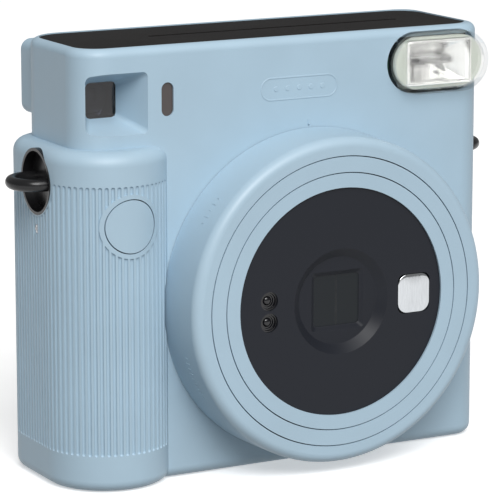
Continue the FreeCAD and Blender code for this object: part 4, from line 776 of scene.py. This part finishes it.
def battery_pair():
    """Two stubby cells, one above the other, each with a cap, a pale band and a dark sleeve."""
    low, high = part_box("battery_cells")
    radius = (high.x - low.x) / 2
    length = (high.z - low.z) / 2
    up = Vector((0, 0, 1))
    sleeves, caps, bands = bmesh.new(), bmesh.new(), bmesh.new()
    for n in (0, 1):
        base = Vector(((low.x + high.x) / 2, (low.y + high.y) / 2, low.z + n * length))
        turn_profile(sleeves, [(radius * 0.55, 0.25 * MM), (radius * 0.92, 0.25 * MM),
                               (radius * 0.98, 0.6 * MM),
                               (radius * 0.98, length - 2.2 * MM), (radius * 0.93, length - 1.7 * MM),
                               (radius * 0.6, length - 1.7 * MM)], base, up, 64)
        turn_profile(caps, [(0, 0.1 * MM), (radius * 0.56, 0.1 * MM), (radius * 0.56, 0.4 * MM)], base, up)
        turn_profile(caps, [(radius * 0.62, length - 1.75 * MM), (radius * 0.4, length - 1.6 * MM),
                            (radius * 0.38, length - 0.35 * MM), (radius * 0.32, length - 0.1 * MM),
                            (0, length - 0.1 * MM)], base, up)
        turn_profile(bands, [(radius * 0.985, length * 0.66), (radius, length * 0.665),
                             (radius, length * 0.86), (radius * 0.985, length * 0.865)], base, up, 64)
    add_piece("battery_sleeves", sleeves, "camera_body", finishes["cell_wrap"],
              ("battery_cells",))
    add_piece("battery_caps", caps, "camera_body", cell_brass)
    add_piece("battery_bands", bands, "camera_body", cell_band)


case_screw_heads()
counter_numbers()
battery_pair()


# ---------------------------------------------------------------- raised marks on the blue mouldings

def surface_spot(node, start, towards):
    """Where a straight line first meets a CAD node, and the surface's outward direction there."""
    hit, spot, normal, face = cad_nodes[node].ray_cast(start, towards.normalized())
    if not hit:
        raise RuntimeError("no surface of %s in line with %s" % (node, tuple(start)))
    return spot, normal


def ring_marks():
    """Plain raised dashes round the ring's side that show the way it turns."""
    low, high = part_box("control_ring")
    centre = (low + high) / 2
    reach = (high.x - low.x) / 2 + 5 * MM
    y = low.y + 8.2 * MM
    solid = bmesh.new()
    for first, last, count in ((196.0, 212.0, 9), (138.0, 148.0, 5)):
        for n in range(count):
            angle = math.radians(first + (last - first) * n / (count - 1))
            outward = Vector((math.cos(angle), 0, math.sin(angle)))
            start = Vector((centre.x, y, centre.z)) + outward * reach
            spot, _ = surface_spot("control_ring", start, -outward)
            turn = Matrix.Rotation(math.pi / 2 - angle, 3, "Y")
            length = 2.0 * MM if n % 2 else 1.3 * MM
            soft_block(solid, spot, (0.45 * MM, length, 0.24 * MM), turn, 0.1 * MM)
    return add_piece("ring_raised_dashes", solid, "control_ring", finishes["ring_blue"])


def index_line():
    """The short upright line above the ring that the ring's position is read against."""
    solid = bmesh.new()
    start = Vector((8.95 * MM, -60 * MM, 94.9 * MM))
    spot, _ = surface_spot("front_cover", start, Vector((0, 1, 0)))
    soft_block(solid, spot, (0.5 * MM, 0.36 * MM, 1.5 * MM), edge=0.06 * MM)
    return add_piece("index_line", solid, "camera_body", finishes["body_blue"])


def front_badge():
    """A plain raised outline with a row of dots on the front, over the ring."""
    centre_x, centre_z = 6.0 * MM, 104.6 * MM
    before_front = Vector((centre_x, cad_box[0][1] - 0.05, centre_z))
    spot, _ = surface_spot("front_cover", before_front, Vector((0, 1, 0)))
    y_back, y_front = spot.y + 0.1 * MM, spot.y - 0.12 * MM
    centre = Vector((centre_x, spot.y, centre_z))
    width, height, line = 24.0 * MM, 6.4 * MM, 0.45 * MM
    solid = bmesh.new()
    rings = [(0.0, y_back), (0.0, y_front + 0.06 * MM), (0.08 * MM, y_front), (line - 0.08 * MM, y_front),
             (line, y_front + 0.06 * MM), (line, y_back), (0.0, y_back)]
    loft(solid, [pane_layer(centre, width, height, height / 2, inset, y) for inset, y in rings], False, False)
    dots = 5
    for n in range(dots):
        x = centre_x + (n - (dots - 1) / 2) * 3.6 * MM
        turn_profile(solid, [(0.75 * MM, y_back), (0.75 * MM, y_front + 0.08 * MM), (0.66 * MM, y_front),
                             (0, y_front)], Vector((x, 0, centre_z)), Vector((0, 1, 0)), 24)
    return add_piece("front_badge_outline", solid, "camera_body", finishes["body_blue"])


ring_marks()
index_line()
front_badge()


# ---------------------------------------------------------------- floor, lights and camera

def studio_floor():
    """A wide pale floor under the camera."""
    half = 4.0
    solid = bmesh.new()
    bmesh.ops.create_grid(solid, x_segments=2, y_segments=2, size=half)
    mesh = bpy.data.meshes.new("studio_floor")
    solid.to_mesh(mesh)
    solid.free()
    floor = bpy.data.objects.new("studio_floor", mesh)
    floor.location = (0, 0, cad_box[0][2] - 0.0002)
    bpy.context.scene.collection.objects.link(floor)
    material, tree, surface = start_finish("Floor paper", Emission_Color=(1.0, 1.0, 1.0, 1.0),
                                           Emission_Strength=0.42)
    soft = use(tree, GRAIN, Grains_per_mm=0.8)
    pale = blend_colour(tree, soft["Mottle"], (0.90, 0.90, 0.90, 1), (0.93, 0.93, 0.93, 1))
    feed(tree, surface["Base Color"], pale)
    feed(tree, surface["Roughness"], spread(tree, soft["Mottle"], 0, 1, 0.85, 0.95))
    dress(floor, material)
    floor.visible_diffuse = False


def aim(holder, place, target):
    """Sets a lamp at a place, facing a point."""
    holder.location = place
    holder.rotation_euler = (Vector(target) - Vector(place)).to_track_quat("-Z", "Y").to_euler()
    bpy.context.scene.collection.objects.link(holder)


def softbox(name, place, target, width, height, watts):
    lamp = bpy.data.lights.new(name, "AREA")
    lamp.shape = "RECTANGLE"
    lamp.size, lamp.size_y = width, height
    lamp.energy = watts
    aim(bpy.data.objects.new(name, lamp), place, target)


def studio():
    """A broad soft light from over the front, a nearer softbox up to the left, and a dim pale surround."""
    world = bpy.data.worlds.new("Studio surround")
    world.use_nodes = True
    world.node_tree.nodes["Background"].inputs["Color"].default_value = (1.0, 1.0, 1.0, 1.0)
    world.node_tree.nodes["Background"].inputs["Strength"].default_value = 0.26
    bpy.context.scene.world = world
    middle = (0.0, 0.0, 0.07)
    broad = bpy.data.lights.new("Broad front light", "SUN")
    broad.angle = math.radians(50)
    broad.energy = 1.92
    aim(bpy.data.objects.new("Broad front light", broad), (-0.12, -0.75, 0.85), middle)
    softbox("Left front softbox", (-0.28, -0.62, 0.62), middle, 0.35, 0.35, 2.8)
    view = bpy.context.scene.view_settings
    view.view_transform = "Standard"
    view.look = "None"


def viewing_camera():
    """The camera looks down a little, from the grip's side of the front."""
    turn, drop = math.radians(28.476), math.radians(11.625)
    lens = bpy.data.cameras.new("Viewing camera")
    lens.sensor_width = 36.0
    lens.lens = 216.5
    lens.clip_start, lens.clip_end = 0.05, 20.0
    holder = bpy.data.objects.new("Viewing camera", lens)
    forward = Vector((math.sin(turn) * math.cos(drop), math.cos(turn) * math.cos(drop), -math.sin(drop)))
    holder.location = (-0.3906, -0.7231, 0.2256)
    holder.rotation_euler = forward.to_track_quat("-Z", "Y").to_euler()
    bpy.context.scene.collection.objects.link(holder)
    bpy.context.scene.camera = holder


studio_floor()
studio()
viewing_camera()
